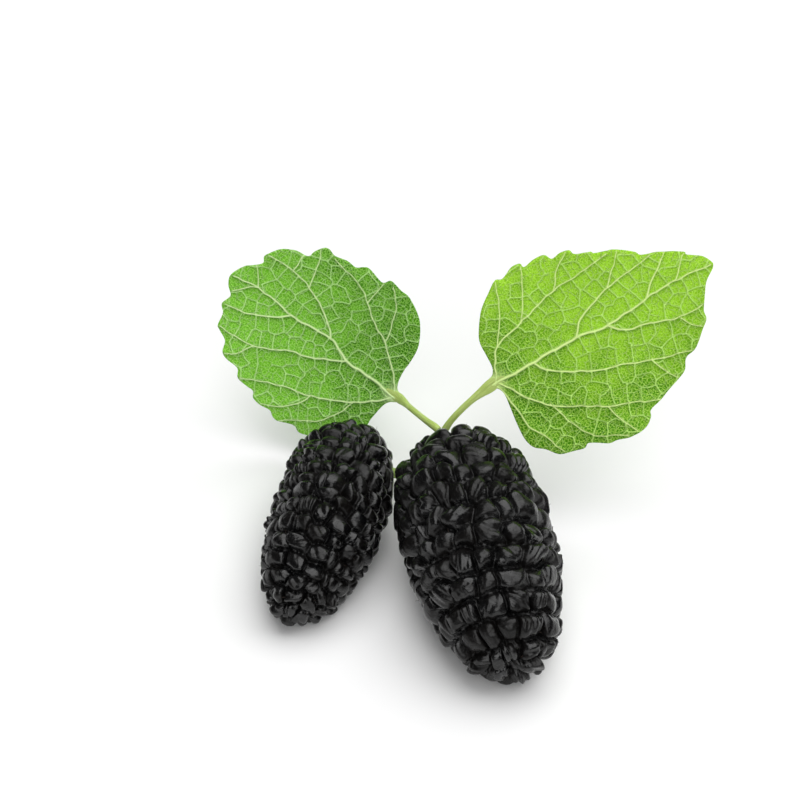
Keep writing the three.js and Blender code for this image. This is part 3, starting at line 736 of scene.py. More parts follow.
leafLeft = {
    "base": (-6.8, 14.59, 8.88),
    "along": (-0.8096, 0.3515, 0.4701),
    "facing": (-0.2, -0.9182, 0.342),
    "length": 23.5,
    "baseDepth": 0.75,
    # painted shade over the lower half of the blade
    "lowerSideShade": 0.6,
    "margin": [
        (-0.5, 0.5), (0.1, 1.0), (0.5, 1.9), (0.7, 4.0), (0.7, 5.1), (1.6, 6.5), (2.7, 8.1), (4.4, 9.7),
        (5.8, 10.5), (6.7, 10.8), (7.6, 10.5), (9.5, 11.3), (10.3, 11.2), (10.9, 10.8), (12.2, 10.9),
        (13.3, 10.7), (13.8, 10.0), (14.8, 9.9), (16.1, 9.6), (16.8, 8.7), (18.4, 8.5), (19.3, 8.0),
        (19.8, 6.8), (21.0, 6.1), (21.5, 5.7), (21.8, 4.2), (22.5, 3.3), (22.2, 1.9), (23.1, 1.0),
        (23.5, -0.2), (22.8, -1.9), (21.9, -2.8), (21.2, -3.6), (21.5, -4.3), (21.3, -4.9),
        (20.4, -6.2), (18.9, -7.1), (17.4, -7.4), (17.1, -8.3), (16.5, -9.3), (15.9, -9.6),
        (14.9, -9.4), (13.4, -9.8), (12.2, -9.8), (11.5, -10.4), (10.8, -10.7), (8.8, -10.3),
        (8.0, -11.1), (6.4, -10.8), (5.3, -10.7), (3.4, -9.6), (2.3, -8.5), (1.2, -6.5), (0.9, -4.5),
        (0.9, -3.1), (0.7, -1.7), (0.25, -0.8), (-0.5, -0.4),
    ],
    "veins": [
        ("mid", (-0.3, 0.2), (3.3, 0.1), (6.9, 0.2), (9.8, -0.8), (11.8, -0.6), (15.1, -0.3), (20.1, -0.8),
         (23.1, -0.3)),
        ("side", (0.2, 0.1), (1.2, -1.6), (2.7, -2.9), (4.5, -4.5), (7.0, -5.8), (8.8, -7.3), (10.9, -8.5),
         (14.6, -9.1)),
        ("side", (9.8, -0.8), (10.8, -1.9), (12.7, -3.2), (15.3, -4.4), (17.8, -5.0), (21.0, -4.9)),
        ("branch", (20.1, -0.8), (21.2, -2.5), (21.6, -2.9)),
        ("branch", (4.5, -4.5), (5.6, -8.4), (7.4, -10.7)),
        ("branch", (8.8, -7.3), (8.5, -10.2)),
        ("branch", (15.3, -4.4), (15.9, -7.7), (16.5, -9.0)),
        ("branch", (17.8, -5.0), (17.9, -7.1)),
        ("side", (0.2, 0.2), (1.5, 1.9), (3.4, 3.6), (7.9, 6.3), (12.0, 7.7), (15.9, 9.4)),
        ("branch", (3.4, 3.6), (4.6, 6.7), (6.3, 8.8), (9.4, 11.1)),
        ("branch", (7.9, 6.3), (8.9, 8.2), (10.2, 9.6), (12.1, 10.7)),
        ("side", (6.9, 0.2), (10.1, 2.3), (13.4, 3.6), (16.8, 5.4), (21.2, 5.7)),
        ("branch", (16.8, 5.4), (17.8, 7.2), (18.9, 8.0)),
        ("side", (15.1, -0.3), (16.6, 1.0), (19.2, 2.4), (22.1, 3.2)),
        ("branch", (20.1, -0.8), (20.9, -0.3), (22.3, 1.3)),
    ],
}


def smoothPath(points, step, closed=False):
    # A curve through the points, cut into even steps
    points = np.array(points, float)
    if closed:
        padded = np.concatenate([points[-1:], points, points[:2]])
    else:
        padded = np.concatenate([2 * points[:1] - points[1:2], points, 2 * points[-1:] - points[-2:-1]])
    fine = []
    for a, b, c, d in zip(padded, padded[1:], padded[2:], padded[3:]):
        t = np.linspace(0, 1, 24, endpoint=False)[:, None]
        fine.append(0.5 * (2 * b + (c - a) * t + (2 * a - 5 * b + 4 * c - d) * t ** 2
                           + (3 * b - a - 3 * c + d) * t ** 3))
    fine = np.concatenate(fine + [padded[-2:-1]])
    run = np.concatenate([[0], np.cumsum(np.linalg.norm(np.diff(fine, axis=0), axis=1))])
    count = max(2, round(run[-1] / step))
    stops = np.linspace(0, run[-1], count + 1)
    path = np.stack([np.interp(stops, run, fine[:, k]) for k in range(fine.shape[1])], 1)
    return path[:-1] if closed else path


def sideways(path):
    ahead = unit(np.gradient(path, axis=0))
    return np.stack([-ahead[:, 1], ahead[:, 0]], 1)


def veinPaths(leaf):
    # Each vein as points with a half width at each
    paths = []
    step = leafForm["veinStep"]
    for number, (kind, *route) in enumerate(leaf["veins"]):
        path = smoothPath(route, step)
        run = np.arange(len(path)) * step
        spots = np.stack([run, run * 0 + number * 3.7, run * 0], 1)  # each vein wobbles in its own way
        wobble = leafForm["veinWobble"] * smoothNoise(spots / leafForm["wobblePitch"], 3)
        path = path + sideways(path) * wobble[:, None]
        paths.append((path, np.linspace(*veinHalfWidths[kind], len(path))))
    return paths


def nearestVein(points, paths, search=3.0):
    # Distance to the nearest vein, its half width there, and the way from it, looked for by short stretches
    stretch = 6
    best = np.full(len(points), np.inf)
    away = np.full(len(points), search)
    width = np.full(len(points), 0.1)
    course = np.zeros((len(points), 2))
    for path, halves in paths:
        for first in range(0, len(path) - 1, stretch):
            last = first + stretch + 1
            piece, widths = path[first:last], halves[first:last]
            inReach = (points > piece.min(0) - search) & (points < piece.max(0) + search)
            near = np.flatnonzero(inReach.all(1))
            spans = np.diff(piece, axis=0)
            offset = points[near][:, None] - piece[:-1]
            share = np.clip((offset * spans).sum(2) / (spans * spans).sum(1), 0, 1)
            offset = offset - share[..., None] * spans
            distance = np.linalg.norm(offset, axis=2)
            half = widths[:-1] + np.diff(widths) * share
            pick = (np.arange(len(near)), (distance - half).argmin(1))
            closer = (distance - half)[pick] < best[near]
            spots, pick = near[closer], (pick[0][closer], pick[1][closer])
            best[spots] = (distance - half)[pick]
            away[spots], width[spots], course[spots] = distance[pick], half[pick], offset[pick]
    return away, width, course


def scatteredSites(margin, paths, random):
    # Points in pairs along the veins, and then rows of points over the rest of the blade
    form = veinMesh
    pairs = []
    stride = round(form["pairSpacing"] / leafForm["veinStep"])
    for path, _ in paths:
        across = sideways(path)
        for k in range(random.integers(1, stride), len(path), stride):
            k = min(len(path) - 1, k + random.integers(0, 3))
            reach = form["pairOffset"] * random.uniform(*form["pairSpread"])
            pairs += [path[k] + across[k] * reach, path[k] - across[k] * reach]
    pairs = np.array(pairs)
    pairs = pairs[nearestVein(pairs, paths)[0] > form["pairOffset"] * form["pairClear"]]
    cell = form["cell"]
    kept = [pairs[0]]

    def keep(site, gap):
        if np.linalg.norm(np.array(kept) - site, axis=1).min() > cell * gap:
            kept.append(site)

    for site in pairs[1:]:
        keep(site, form["pairGap"])
    low, high = margin.min(0) - 2, margin.max(0) + 2
    for row, y in enumerate(np.arange(low[1], high[1], cell * form["rowPitch"])):
        for x in np.arange(low[0] + cell / 2 * (row % 2), high[0], cell):
            keep(np.array([x, y]) + random.uniform(-1, 1, 2) * form["cellJitter"], form["cellGap"])
    return kept


def cellEdges(sites):
    # Edges of the cells round the points: each joins the centres of two neighbouring triangles' circles
    found = delaunay_2d_cdt([Vector(site) for site in sites], [], [], 0, leafForm["merge"])
    sites = np.array([tuple(p) for p in found[0]])
    sharing = {}
    for face in found[2]:
        a, b, c = sites[face[0]], sites[face[1]], sites[face[2]]
        first, second = a - c, b - c
        double = 2 * (first[0] * second[1] - second[0] * first[1])
        one, two = first @ (a + c), second @ (b + c)
        centre = np.array([one * second[1] - two * first[1], two * first[0] - one * second[0]])
        for k in range(3):
            key = tuple(sorted((face[k], face[(k + 1) % 3])))
            sharing.setdefault(key, []).append(centre / double)
    return np.array([ends for ends in sharing.values() if len(ends) == 2])


def smallVeins(leaf, margin, paths):
    # The small veins, each as a wandering line with a half width
    form = veinMesh
    random = np.random.default_rng(form["seed"] + len(leaf["veins"]))
    edges = cellEdges(scatteredSites(margin, paths, random))
    middle, length = edges.mean(1), np.linalg.norm(edges[:, 1] - edges[:, 0], axis=1)
    shortest, longest = form["lengths"]
    good = (length > shortest) & (length < longest) & insideLoop(middle, margin)
    good &= nearestVein(middle, paths)[0] > form["clearance"]
    good &= random.random(len(edges)) > form["missingShare"]
    lines = []
    for ends, length in zip(edges[good], length[good]):
        path = np.linspace(ends[0], ends[1], max(3, round(length / form["step"]) + 1))
        shape = np.sin(np.linspace(0, math.pi, len(path)))
        bend = random.normal(0, form["wobble"]) * shape
        bend = bend + random.normal(0, form["fineWobble"] * form["wobble"], len(path)) * shape
        path = path + sideways(path) * bend[:, None]
        faint = random.random() < form["faintShare"]
        half = form["halfWidth"] * (form["faintWidth"] if faint else random.uniform(*form["widthSpread"]))
        lines.append((path, np.full(len(path), half)))
    return lines


def insideLoop(points, loop):
    inside = np.zeros(len(points), bool)
    for (x0, y0), (x1, y1) in zip(loop, np.roll(loop, -1, 0)):
        crosses = (points[:, 1] < y0) != (points[:, 1] < y1)
        if y0 != y1:
            inside ^= crosses & (points[:, 0] < x0 + (points[:, 1] - y0) / (y1 - y0) * (x1 - x0))
    return inside


def distanceToLoop(points, loop):
    best = np.full(len(points), np.inf)
    for start, end in zip(loop, np.roll(loop, -1, 0)):
        span = end - start
        near = np.abs(points - start).max(1) < 3
        offset = points[near] - start
        part = np.clip(offset @ span / (span @ span), 0, 1)
        best[near] = np.minimum(best[near], np.linalg.norm(offset - part[:, None] * span, axis=1))
    return best


def bladePoints(margin, paths, lines):
    # Even points over the blade, with rows of closer points along every vein
    form = leafForm
    step = form["step"]
    low, high = margin.min(0), margin.max(0)
    grid = []
    for k, y in enumerate(np.arange(low[1], high[1], step * math.sqrt(3) / 2)):
        across = np.arange(low[0] + step / 2 * (k % 2), high[0], step)
        grid.append(np.stack([across, np.full_like(across, y)], 1))
    grid = np.concatenate(grid)
    away, width, _ = nearestVein(grid, paths)
    halfWidths, steps = form["veinGap"]
    grid = grid[away > width * halfWidths + step * steps]
    grid = grid[nearestVein(grid, lines, 0.5)[0] > veinMesh["rowOffset"] + step * form["smallVeinGap"]]
    strips, fine = [], []
    for path, halves in paths:
        strips += [path + sideways(path) * (halves * share)[:, None] for share in form["meshRows"]]
    for path, _ in lines:
        fine += [path + sideways(path) * share * veinMesh["rowOffset"] for share in (-1, 0, 1)]
    fine = np.concatenate(fine)
    away, width, _ = nearestVein(fine, paths)
    halfWidths, clear = form["rowGap"]
    strips = np.concatenate(strips + [fine[away > width * halfWidths + clear]])
    order = np.unique(np.round(strips / form["rowMerge"]).astype(int), axis=0, return_index=True)[1]
    points = np.concatenate([grid, strips[order]])
    points = points[insideLoop(points, margin)]
    return points[distanceToLoop(points, margin) > step * form["marginGap"]]


def bladeHeight(leaf, u, v):
    form = leafForm
    edge = form["edgeRise"] * (np.abs(v) / form["halfWidth"]) ** form["edgePower"]
    half = leaf["length"] / 2
    bow = form["bow"] * (1 - ((u - half) / half) ** 2)
    swing = np.sin(fullTurn * u / form["waveLength"] + form["wavePhase"])
    return edge - bow + form["waveHeight"] * swing * v / form["halfWidth"]


def bladeSheet(margin, paths, lines):
    # The flat mesh of a blade: points and triangles that all turn the same way
    flat = np.concatenate([margin, bladePoints(margin, paths, lines)])
    loop = list(range(len(margin)))
    edges = [(k, (k + 1) % len(margin)) for k in loop]
    found = delaunay_2d_cdt([Vector(p) for p in flat], edges, [loop], 1, leafForm["merge"])
    flat = np.array([tuple(p) for p in found[0]])
    triangles = np.array(found[2])
    corners = flat[triangles]
    first, second = corners[:, 1] - corners[:, 0], corners[:, 2] - corners[:, 0]
    turned = first[:, 0] * second[:, 1] - first[:, 1] * second[:, 0] < 0
    triangles[turned] = triangles[turned][:, ::-1]
    return flat, triangles


def makeLeaf(name, leaf, material, node):
    form = leafForm
    margin = smoothPath(leaf["margin"], form["step"], closed=True)
    paths = veinPaths(leaf)
    lines = smallVeins(leaf, margin, paths)
    flat, triangles = bladeSheet(margin, paths, lines)
    u, v = flat.T
    toMargin = distanceToLoop(flat, margin)
    away, width, course = nearestVein(flat, paths)
    smallAway, smallWidth, smallCourse = nearestVein(flat, lines, 0.8)
    relief = form["veinHeight"] * width * np.exp(-(away / (form["veinRound"] * width)) ** 2)
    smallRelief = form["veinHeight"] * smallWidth * np.exp(-(smallAway / form["smallVeinRound"]) ** 2)
    relief = np.maximum(relief, smallRelief * np.clip((away - width) / form["smallVeinStart"], 0, 1))
    relief = relief * np.clip(toMargin / form["reliefReach"], form["reliefAtEdge"], 1)
    sunk = form["quilting"] * (1 - np.exp(-(away / form["quiltReach"]) ** 2))
    sunk += form["smallQuilting"] * (1 - np.exp(-(smallAway / form["smallQuiltReach"]) ** 2))
    share = np.clip(toMargin / form["edgeReach"], 0, 1)
    thick = form["edgeThickness"] + (form["thickness"] - form["edgeThickness"]) * np.sqrt(share)
    middle = bladeHeight(leaf, u, v) - sunk
    along, facing = np.array(leaf["along"]), np.array(leaf["facing"])
    across = np.cross(facing, along)
    plane = np.array(leaf["base"]) + sprigShift + u[:, None] * along + v[:, None] * across
    front = plane + (middle + thick / 2 + relief)[:, None] * facing
    back = plane + (middle - thick / 2 + relief * form["backRelief"])[:, None] * facing
    count = len(flat)
    faces = triangles.tolist() + (triangles[:, ::-1] + count).tolist()
    faces += [(end, start, start + count, end + count) for start, end in rimEdges(triangles)]
    piece = makePiece(name, np.concatenate([front, back]), faces, material, [node])

    # Painted shade beside the veins: a darker green, more of it on the side of each vein that faces down
    reach, least, gain = form["paintedVeinShade"]
    smallReach, smallStrength = form["paintedSmallVeinShade"]
    down = unit(np.array([-along[2], -across[2]]))
    below = course @ down / np.maximum(away, 1e-6)
    smallBelow = smallCourse @ down / np.maximum(smallAway, 1e-6)
    under = shadeUnder(away - width, below, reach, least + gain * width)
    smallUnder = shadeUnder(smallAway - form["smallVeinHalf"], smallBelow, smallReach, smallStrength)
    # Deeper green towards the base, and painted shade over the lower half of the blade
    fromBase = np.hypot(u, v)
    depth = leaf["baseDepth"] * np.exp(-(fromBase / form["baseFade"]) ** 2)
    depth += leaf["lowerSideShade"] * np.clip(-v / form["halfWidth"], 0, 1)
    start, span = form["veinFade"]
    smallStart, smallSpan = form["smallVeinFade"]
    smallVein = 1 - np.clip((smallAway - smallStart) / smallSpan, 0, 1)
    fields = {
        "vein": 1 - np.clip((away / width - start) / span, 0, 1),
        "smallVein": np.clip(smallWidth / form["smallVeinHalf"], 0, 1) * smallVein,
        "veinAway": away,
        "paintedShadeByVein": np.maximum(under, smallUnder),
        "deepGreenAndLowerShade": depth,
        "nearBase": np.exp(-(fromBase / form["paleReach"]) ** 2),
    }
    for label, values in fields.items():
        giveAttribute(piece, label, np.concatenate([values, values]))
    giveAttribute(piece, "backFace", np.repeat([0, 1], count))
    layer = piece.data.uv_layers.new(name="bladePlane")
    corner = np.zeros(len(piece.data.loops), np.int32)
    piece.data.loops.foreach_get("vertex_index", corner)
    layer.data.foreach_set("uv", np.concatenate([flat, flat])[corner].astype(np.float32).ravel())
    finishPiece(piece, "leaf_blade", node)
    print(name, "made:", len(piece.data.polygons), "faces")


def shadeUnder(away, downward, reach, strength):
    # Painted shade along a vein, a darker green, deeper on its lower side where less light falls
    paintedVeinShade = np.exp(-(np.maximum(away, 0) / reach) ** 2)
    even, below, least = leafForm["paintedShadeSides"]
    return np.clip(paintedVeinShade * (even + below * np.clip(downward, least, 1)) * strength, 0, 1)


def rimEdges(triangles):
    # Edges used by one triangle only, in that triangle's direction
    edges = np.concatenate([triangles[:, [0, 1]], triangles[:, [1, 2]], triangles[:, [2, 0]]])
    known = {tuple(edge) for edge in edges.tolist()}
    return [edge for edge in known if (edge[1], edge[0]) not in known]


bladeFinish = {
    "upper": tint("3f8418"), "upperShare": 0.55, "shine": 0.1, "roughness": (0.6, 0.4),
    "patchScale": 0.3, "grainScale": 5.0, "netHeight": 0.0001,
    "middleNet": {"Cell": 0.85, "Line": 0.035, "Wander": 0.5, "Fade": 0.9},
    "fineNet": {"Cell": 0.36, "Line": 0.04, "Wander": 0.6, "Fade": 0.4},
    "speckScale": 3.4, "speckSpan": (0.12, 0.3),
    "patchDepth": -0.4, "leastDepth": 0.3,      # how much a patch lightens the green, and the even part
    "veinSpan": (0.1, 1.3),                     # mm from a vein over which its paler side fades
    "mottleSpan": (0.2, 0.55), "mottle": 0.35,
    # shares of the colour layers; one of them is the painted shade beside the veins
    "fineShare": 0.48, "speckShare": 0.5, "paintedVeinShade": 0.85, "middleShare": 0.6, "smallShare": 0.95,
    "middleRelief": 0.8, "fineRelief": 0.5, "grainRelief": 0.35,
}
# Each blade's darkest green is painted shade, laid beside the veins
rightBladeFinish = {
    **bladeFinish, "paleByVein": 0.08,
    "deep": tint("448a00"), "bright": tint("a6e82a"), "pale": tint("7cc04e"), "speck": tint("d0ff6c"),
    "smallVein": tint("d0ff88"), "vein": tint("e6ffa4"), "paintedShadeGreen": tint("2c6800"),
}
leftBladeFinish = {
    **bladeFinish, "paleByVein": 0.1,
    "deep": tint("3b8002"), "bright": tint("7acb2c"), "pale": tint("7db25e"), "speck": tint("c0ff78"),
    "smallVein": tint("ceffa0"), "vein": tint("e4ffb8"), "paintedShadeGreen": tint("285f06"),
}


def makeLeafMaterial(name, finish):
    material, tree, shader = newMaterial(name)
    plane = put(tree, "ShaderNodeUVMap", uv_map="bladePlane").outputs["UV"]
    back, away = attribute(tree, "backFace"), attribute(tree, "veinAway")
    vein = maths(tree, "MAXIMUM", attribute(tree, "vein"), attribute(tree, "nearBase"))
    grain = grainOf(tree, plane, finish)
    middle, fine = [
        put(tree, "ShaderNodeGroup", {"Vector": plane, **finish[net]}, node_tree=veinNet).outputs["Line"]
        for net in ("middleNet", "fineNet")
    ]
    cells = put(tree, "ShaderNodeTexVoronoi", {"Vector": plane, "Scale": finish["speckScale"]},
                voronoi_dimensions="2D")
    specks = ramp(tree, cells.outputs["Distance"], *finish["speckSpan"], 1.0, 0.0)
    # one mask brings the deeper green near the base and the painted shade on the lower half
    even = maths(tree, "ADD", attribute(tree, "deepGreenAndLowerShade"), finish["leastDepth"])
    depth = maths(tree, "MULTIPLY_ADD", grain["Patch"], finish["patchDepth"], even)
    blade = mixColour(tree, ramp(tree, depth, 0.0, 1.0), finish["bright"], finish["deep"])
    layers = [
        ("pale", ramp(tree, away, *finish["veinSpan"], finish["paleByVein"], 0.0)),
        ("deep", ramp(tree, grain["Grain"], *finish["mottleSpan"], finish["mottle"], 0.0)),
        ("speck", maths(tree, "MULTIPLY", fine, finish["fineShare"])),
        ("speck", maths(tree, "MULTIPLY", specks, finish["speckShare"])),
        # painted shade beside the veins: a darker green laid over the blade
        ("paintedShadeGreen", maths(tree, "MULTIPLY", attribute(tree, "paintedShadeByVein"), finish["paintedVeinShade"])),
        ("smallVein", maths(tree, "MULTIPLY", middle, finish["middleShare"])),
        ("smallVein", maths(tree, "MULTIPLY", attribute(tree, "smallVein"), finish["smallShare"])),
        ("vein", vein),
    ]
    for colour, share in layers:
        blade = mixColour(tree, share, blade, finish[colour])
    upper = mixColour(tree, finish["upperShare"], blade, finish["upper"])
    net = maths(tree, "MULTIPLY", fine, finish["fineRelief"])
    net = maths(tree, "MULTIPLY_ADD", middle, finish["middleRelief"], net)
    net = maths(tree, "MULTIPLY_ADD", grain["Grain"], finish["grainRelief"], net)
    net = maths(tree, "MULTIPLY", net, maths(tree, "SUBTRACT", 1.0, vein))
    feed(tree, shader, {
        "Base Color": mixColour(tree, back, blade, upper),
        "Roughness": ramp(tree, back, 0.0, 1.0, *finish["roughness"]),
        "Normal": bumped(tree, net, finish["netHeight"], 1.0),
        "Specular IOR Level": finish["shine"],
    })
    return material


makeLeaf("rightLeaf", leafRight, makeLeafMaterial("rightLeafBlade", rightBladeFinish), "leaf_right_blade")
makeLeaf("leftLeaf", leafLeft, makeLeafMaterial("leftLeafBlade", leftBladeFinish), "leaf_left_blade")


# Stems, swept along their paths

stems = {
    "rightPetiole": {
        "node": "petiole_right", "slot": "petiole",
        "points": [(-1.5, 4.9, 11.2), (-1.3, 4.9, 11.7), (-0.6, 5.2, 12.8), (0.6, 5.7, 14.05),
                   (1.9, 6.2, 15.15), (3.55, 6.75, 16.3), (4.2, 6.95, 16.75), (5.2, 7.2, 17.3)],
        "radii": [0.4, 0.42, 0.37, 0.36, 0.38, 0.42, 0.36, 0.12],
        "blade": leafRight, "flareReach": 3.4, "flareWidth": 0.8, "flareFlat": 0.55,
    },
    "leftPetiole": {
        "node": "petiole_left", "slot": "petiole",
        "points": [(-2.0, 5.5, 11.2), (-2.4, 6.0, 11.25), (-3.6, 8.2, 10.65), (-5.0, 11.2, 9.75),
                   (-5.8, 13.2, 9.1), (-6.3, 14.2, 8.85), (-6.9, 14.65, 9.0), (-7.8, 15.1, 9.5)],
        "radii": [0.4, 0.42, 0.36, 0.35, 0.36, 0.38, 0.32, 0.12],
        "blade": leafLeft, "flareReach": 3.4, "flareWidth": 0.7, "flareFlat": 0.55,
    },
    "largeStalk": {
        "node": "stalk_large", "slot": "shoot",
        "points": [(-0.3, 3.1, 9.3), (-0.6, 4.1, 9.5), (-1.0, 4.8, 9.7), (-1.5, 5.3, 9.8)],
        "radii": [0.85, 0.68, 0.6, 0.6],
    },
    "smallStalk": {
        "node": "stalk_small", "slot": "shoot",
        "points": [(-12.0, 9.4, 5.9), (-12.0, 10.2, 5.8), (-11.2, 11.1, 4.8), (-9.4, 10.9, 2.7),
                   (-7.2, 9.6, 1.6), (-5.6, 9.1, 2.2), (-4.6, 8.9, 2.7), (-3.6, 8.8, 3.1)],
        "radii": [0.9, 0.85, 0.65, 0.6, 0.6, 0.62, 0.72, 0.8],
    },
    "shootStub": {
        "node": "shoot_stub", "slot": "shoot",
        "points": [(-1.72, 5.05, 11.0), (-1.8, 5.3, 10.5), (-1.9, 5.8, 9.6), (-2.3, 7.4, 6.2),
                   (-2.6, 8.9, 2.9), (-2.95, 10.0, 0.0)],
        "radii": [0.35, 0.62, 0.95, 1.1, 1.3, 1.35],
    },
}


def makeStemTree():
    # Sweeps a ridged round section along a path whose points carry their own radius
    inputs = [
        ("Path", "NodeSocketGeometry", None), ("Step", "NodeSocketFloat", 0.00025),
        ("Sides", "NodeSocketInt", 28), ("Lump Scale", "NodeSocketFloat", 900.0),
        ("Lump Height", "NodeSocketFloat", 0.00004), ("Material", "NodeSocketMaterial", None),
    ]
    outputs = [("Stem", "NodeSocketGeometry")]
    tree, given, result = newGroup("stemSweep", inputs, outputs, "GeometryNodeTree")

    def marked(curve, label, value):
        # Keeps a value of each point of a curve for the material
        feeds = {"Geometry": curve, "Name": label, "Value": value}
        made = put(tree, "GeometryNodeStoreNamedAttribute", feeds, data_type="FLOAT", domain="POINT")
        return made.outputs[0]

    line = put(tree, "GeometryNodeMeshToCurve", {"Mesh": given["Path"]}).outputs[0]
    curved = put(tree, "GeometryNodeCurveSplineType", {"Curve": line}, spline_type="CATMULL_ROM").outputs[0]
    fine = put(tree, "GeometryNodeResampleCurve", {"Curve": curved, "Length": given["Step"]}, mode="LENGTH")
    radius = put(tree, "GeometryNodeInputNamedAttribute", {"Name": "stemRadius"}, data_type="FLOAT")
    spot = put(tree, "GeometryNodeSplineParameter").outputs
    ring = put(tree, "GeometryNodeCurvePrimitiveCircle", {"Resolution": given["Sides"], "Radius": 1.0})
    tube = put(tree, "GeometryNodeCurveToMesh", {
        "Curve": marked(fine.outputs[0], "alongStem", spot["Length"]),
        "Profile Curve": marked(ring.outputs[0], "roundStem", spot["Factor"]),
        "Scale": radius.outputs[0], "Fill Caps": True,
    })
    lumps = put(tree, "ShaderNodeTexNoise", {"Scale": given["Lump Scale"], "Detail": 2.0})
    centred = maths(tree, "SUBTRACT", lumps.outputs["Fac"], 0.5)
    push = put(tree, "ShaderNodeVectorMath", {
        0: put(tree, "GeometryNodeInputNormal").outputs[0],
        "Scale": maths(tree, "MULTIPLY", centred, given["Lump Height"]),
    }, operation="SCALE")
    shaped = put(tree, "GeometryNodeSetPosition", {"Geometry": tube.outputs[0], "Offset": push.outputs[0]})
    smooth = put(tree, "GeometryNodeSetShadeSmooth", {"Geometry": shaped.outputs[0]})
    dress(tree, smooth, given, result["Stem"])
    return tree


def dress(tree, shape, given, end):
    # Makes the shape real, gives it its material and ends the tree with it
    real = put(tree, "GeometryNodeRealizeInstances", {"Geometry": shape.outputs[0]}).outputs[0]
    dressed = put(tree, "GeometryNodeSetMaterial", {"Geometry": real, "Material": given["Material"]})
    tree.links.new(dressed.outputs[0], end)


def runTree(source, tree, values, name):
    # Evaluates a Geometry Nodes tree on an object and keeps the result as a plain mesh
    modifier = source.modifiers.new(tree.name, "NODES")
    modifier.node_group = tree
    for item in tree.interface.items_tree:
        if item.item_type == "SOCKET" and item.in_out == "INPUT" and item.name in values:
            modifier[item.identifier] = values[item.name]
    bpy.context.view_layer.update()
    evaluated = source.evaluated_get(bpy.context.evaluated_depsgraph_get())
    mesh = bpy.data.meshes.new_from_object(evaluated)
    source.modifiers.remove(modifier)
    mesh.name = name
    return addObject(name, mesh)


stalkFinish = {
    "patchScale": 500.0, "grainScale": 6000.0,
    "streakSpan": (0.35, 0.65), "streakShare": 0.45, "grainShare": 0.3,
    "roughness": (0.42, 0.6), "bumpStrength": 0.7,
}
petioleFinish = {
    **stalkFinish, "first": tint("abc654"), "second": tint("bdd66e"), "streak": tint("d3e596"),
    "streakLength": 180.0, "streaks": 5.0, "relief": 0.00004,
}
shootFinish = {
    **stalkFinish, "first": tint("93b552"), "second": tint("a9c46c"), "streak": tint("c3d593"),
    "streakLength": 250.0, "streaks": 6.0, "relief": 0.00006,
}


def makeStemMaterial(name, finish):
    material, tree, shader = newMaterial(name)
    grain = grainOf(tree, objectPlace(tree), finish)
    turn = maths(tree, "MULTIPLY", attribute(tree, "roundStem"), fullTurn)
    ring = put(tree, "ShaderNodeCombineXYZ", {
        0: maths(tree, "COSINE", turn), 1: maths(tree, "SINE", turn),
        2: maths(tree, "MULTIPLY", attribute(tree, "alongStem"), finish["streakLength"]),
    })
    streak = ramp(tree, noise(tree, ring.outputs[0], finish["streaks"], 3.0), *finish["streakSpan"])
    colour = mixColour(tree, grain["Patch"], finish["first"], finish["second"])
    share = maths(tree, "MULTIPLY", streak, finish["streakShare"])
    height = maths(tree, "MULTIPLY_ADD", grain["Grain"], finish["grainShare"], streak)
    feed(tree, shader, {
        "Base Color": mixColour(tree, share, colour, finish["streak"]),
        "Roughness": ramp(tree, grain["Grain"], 0.0, 1.0, *finish["roughness"]),
        "Normal": bumped(tree, height, finish["relief"], finish["bumpStrength"]),
    })
    return material


stemMaterials = {
    "petiole": makeStemMaterial("paleLeafStalk", petioleFinish),
    "shoot": makeStemMaterial("youngShoot", shootFinish),
}
stemTree = makeStemTree()


def flared(piece, corners, stem):
    # Flattens and widens the end of a leaf stalk where it runs into the blade
    leaf = stem["blade"]
    path = smoothPath(stem["points"], 0.1) + sprigShift
    run = np.concatenate([[0], np.cumsum(np.linalg.norm(np.diff(path, axis=0), axis=1))])
    along = np.zeros(len(corners), np.float32)
    piece.data.attributes["alongStem"].data.foreach_get("value", along)
    axis = np.stack([np.interp(along / mm, run, path[:, k]) for k in range(3)], 1)
    offset = corners / mm - axis
    gone = np.linalg.norm(axis - np.array(leaf["base"]) - sprigShift, axis=1)
    near = np.clip(1 - gone / stem["flareReach"], 0, 1)
    near = (near * near * (3 - 2 * near))[:, None]
    facing = np.array(leaf["facing"])
    lift = (offset @ facing)[:, None] * facing
    ahead = np.array(leaf["along"])
    forward = (offset @ ahead)[:, None] * ahead
    wide = offset - lift - forward
    offset = forward + wide * (1 + stem["flareWidth"] * near) + lift * (1 - stem["flareFlat"] * near)
    return ((axis + offset) * mm).astype(np.float32)


def makeStem(name, stem):
    points = np.array(stem["points"]) + sprigShift
    mesh = bpy.data.meshes.new(name + "Path")
    mesh.from_pydata((points * mm).tolist(), [(k, k + 1) for k in range(len(points) - 1)], [])
    radii = mesh.attributes.new("stemRadius", "FLOAT", "POINT")
    radii.data.foreach_set("value", np.array(stem["radii"], np.float32) * mm)
    path = addObject(name + "Path", mesh)
    piece = runTree(path, stemTree, {"Material": stemMaterials[stem["slot"]]}, name)
    bpy.data.objects.remove(path)
    corners = np.zeros(len(piece.data.vertices) * 3, np.float32)
    piece.data.vertices.foreach_get("co", corners)
    corners = corners.reshape(-1, 3)
    if "blade" in stem:
        corners = flared(piece, corners, stem)
    corners[:, 2] = np.maximum(corners[:, 2], 0)
    piece.data.vertices.foreach_set("co", corners.ravel())
    piece.data.update()
    finishPiece(piece, stem["slot"], stem["node"])
    print(name, "made:", len(piece.data.polygons), "faces")


for stemName, stem in stems.items():
    makeStem(stemName, stem)


# Dried styles, the short hairs left on ripe lobes

styleHairs = {
    "Density": 60000.0,
    "Length": 0.00038,
    "Thickness": 0.00003,
    "Bend": 0.0001,
    "Floor Clearance": 0.0008,
    "Seed": 7,
}

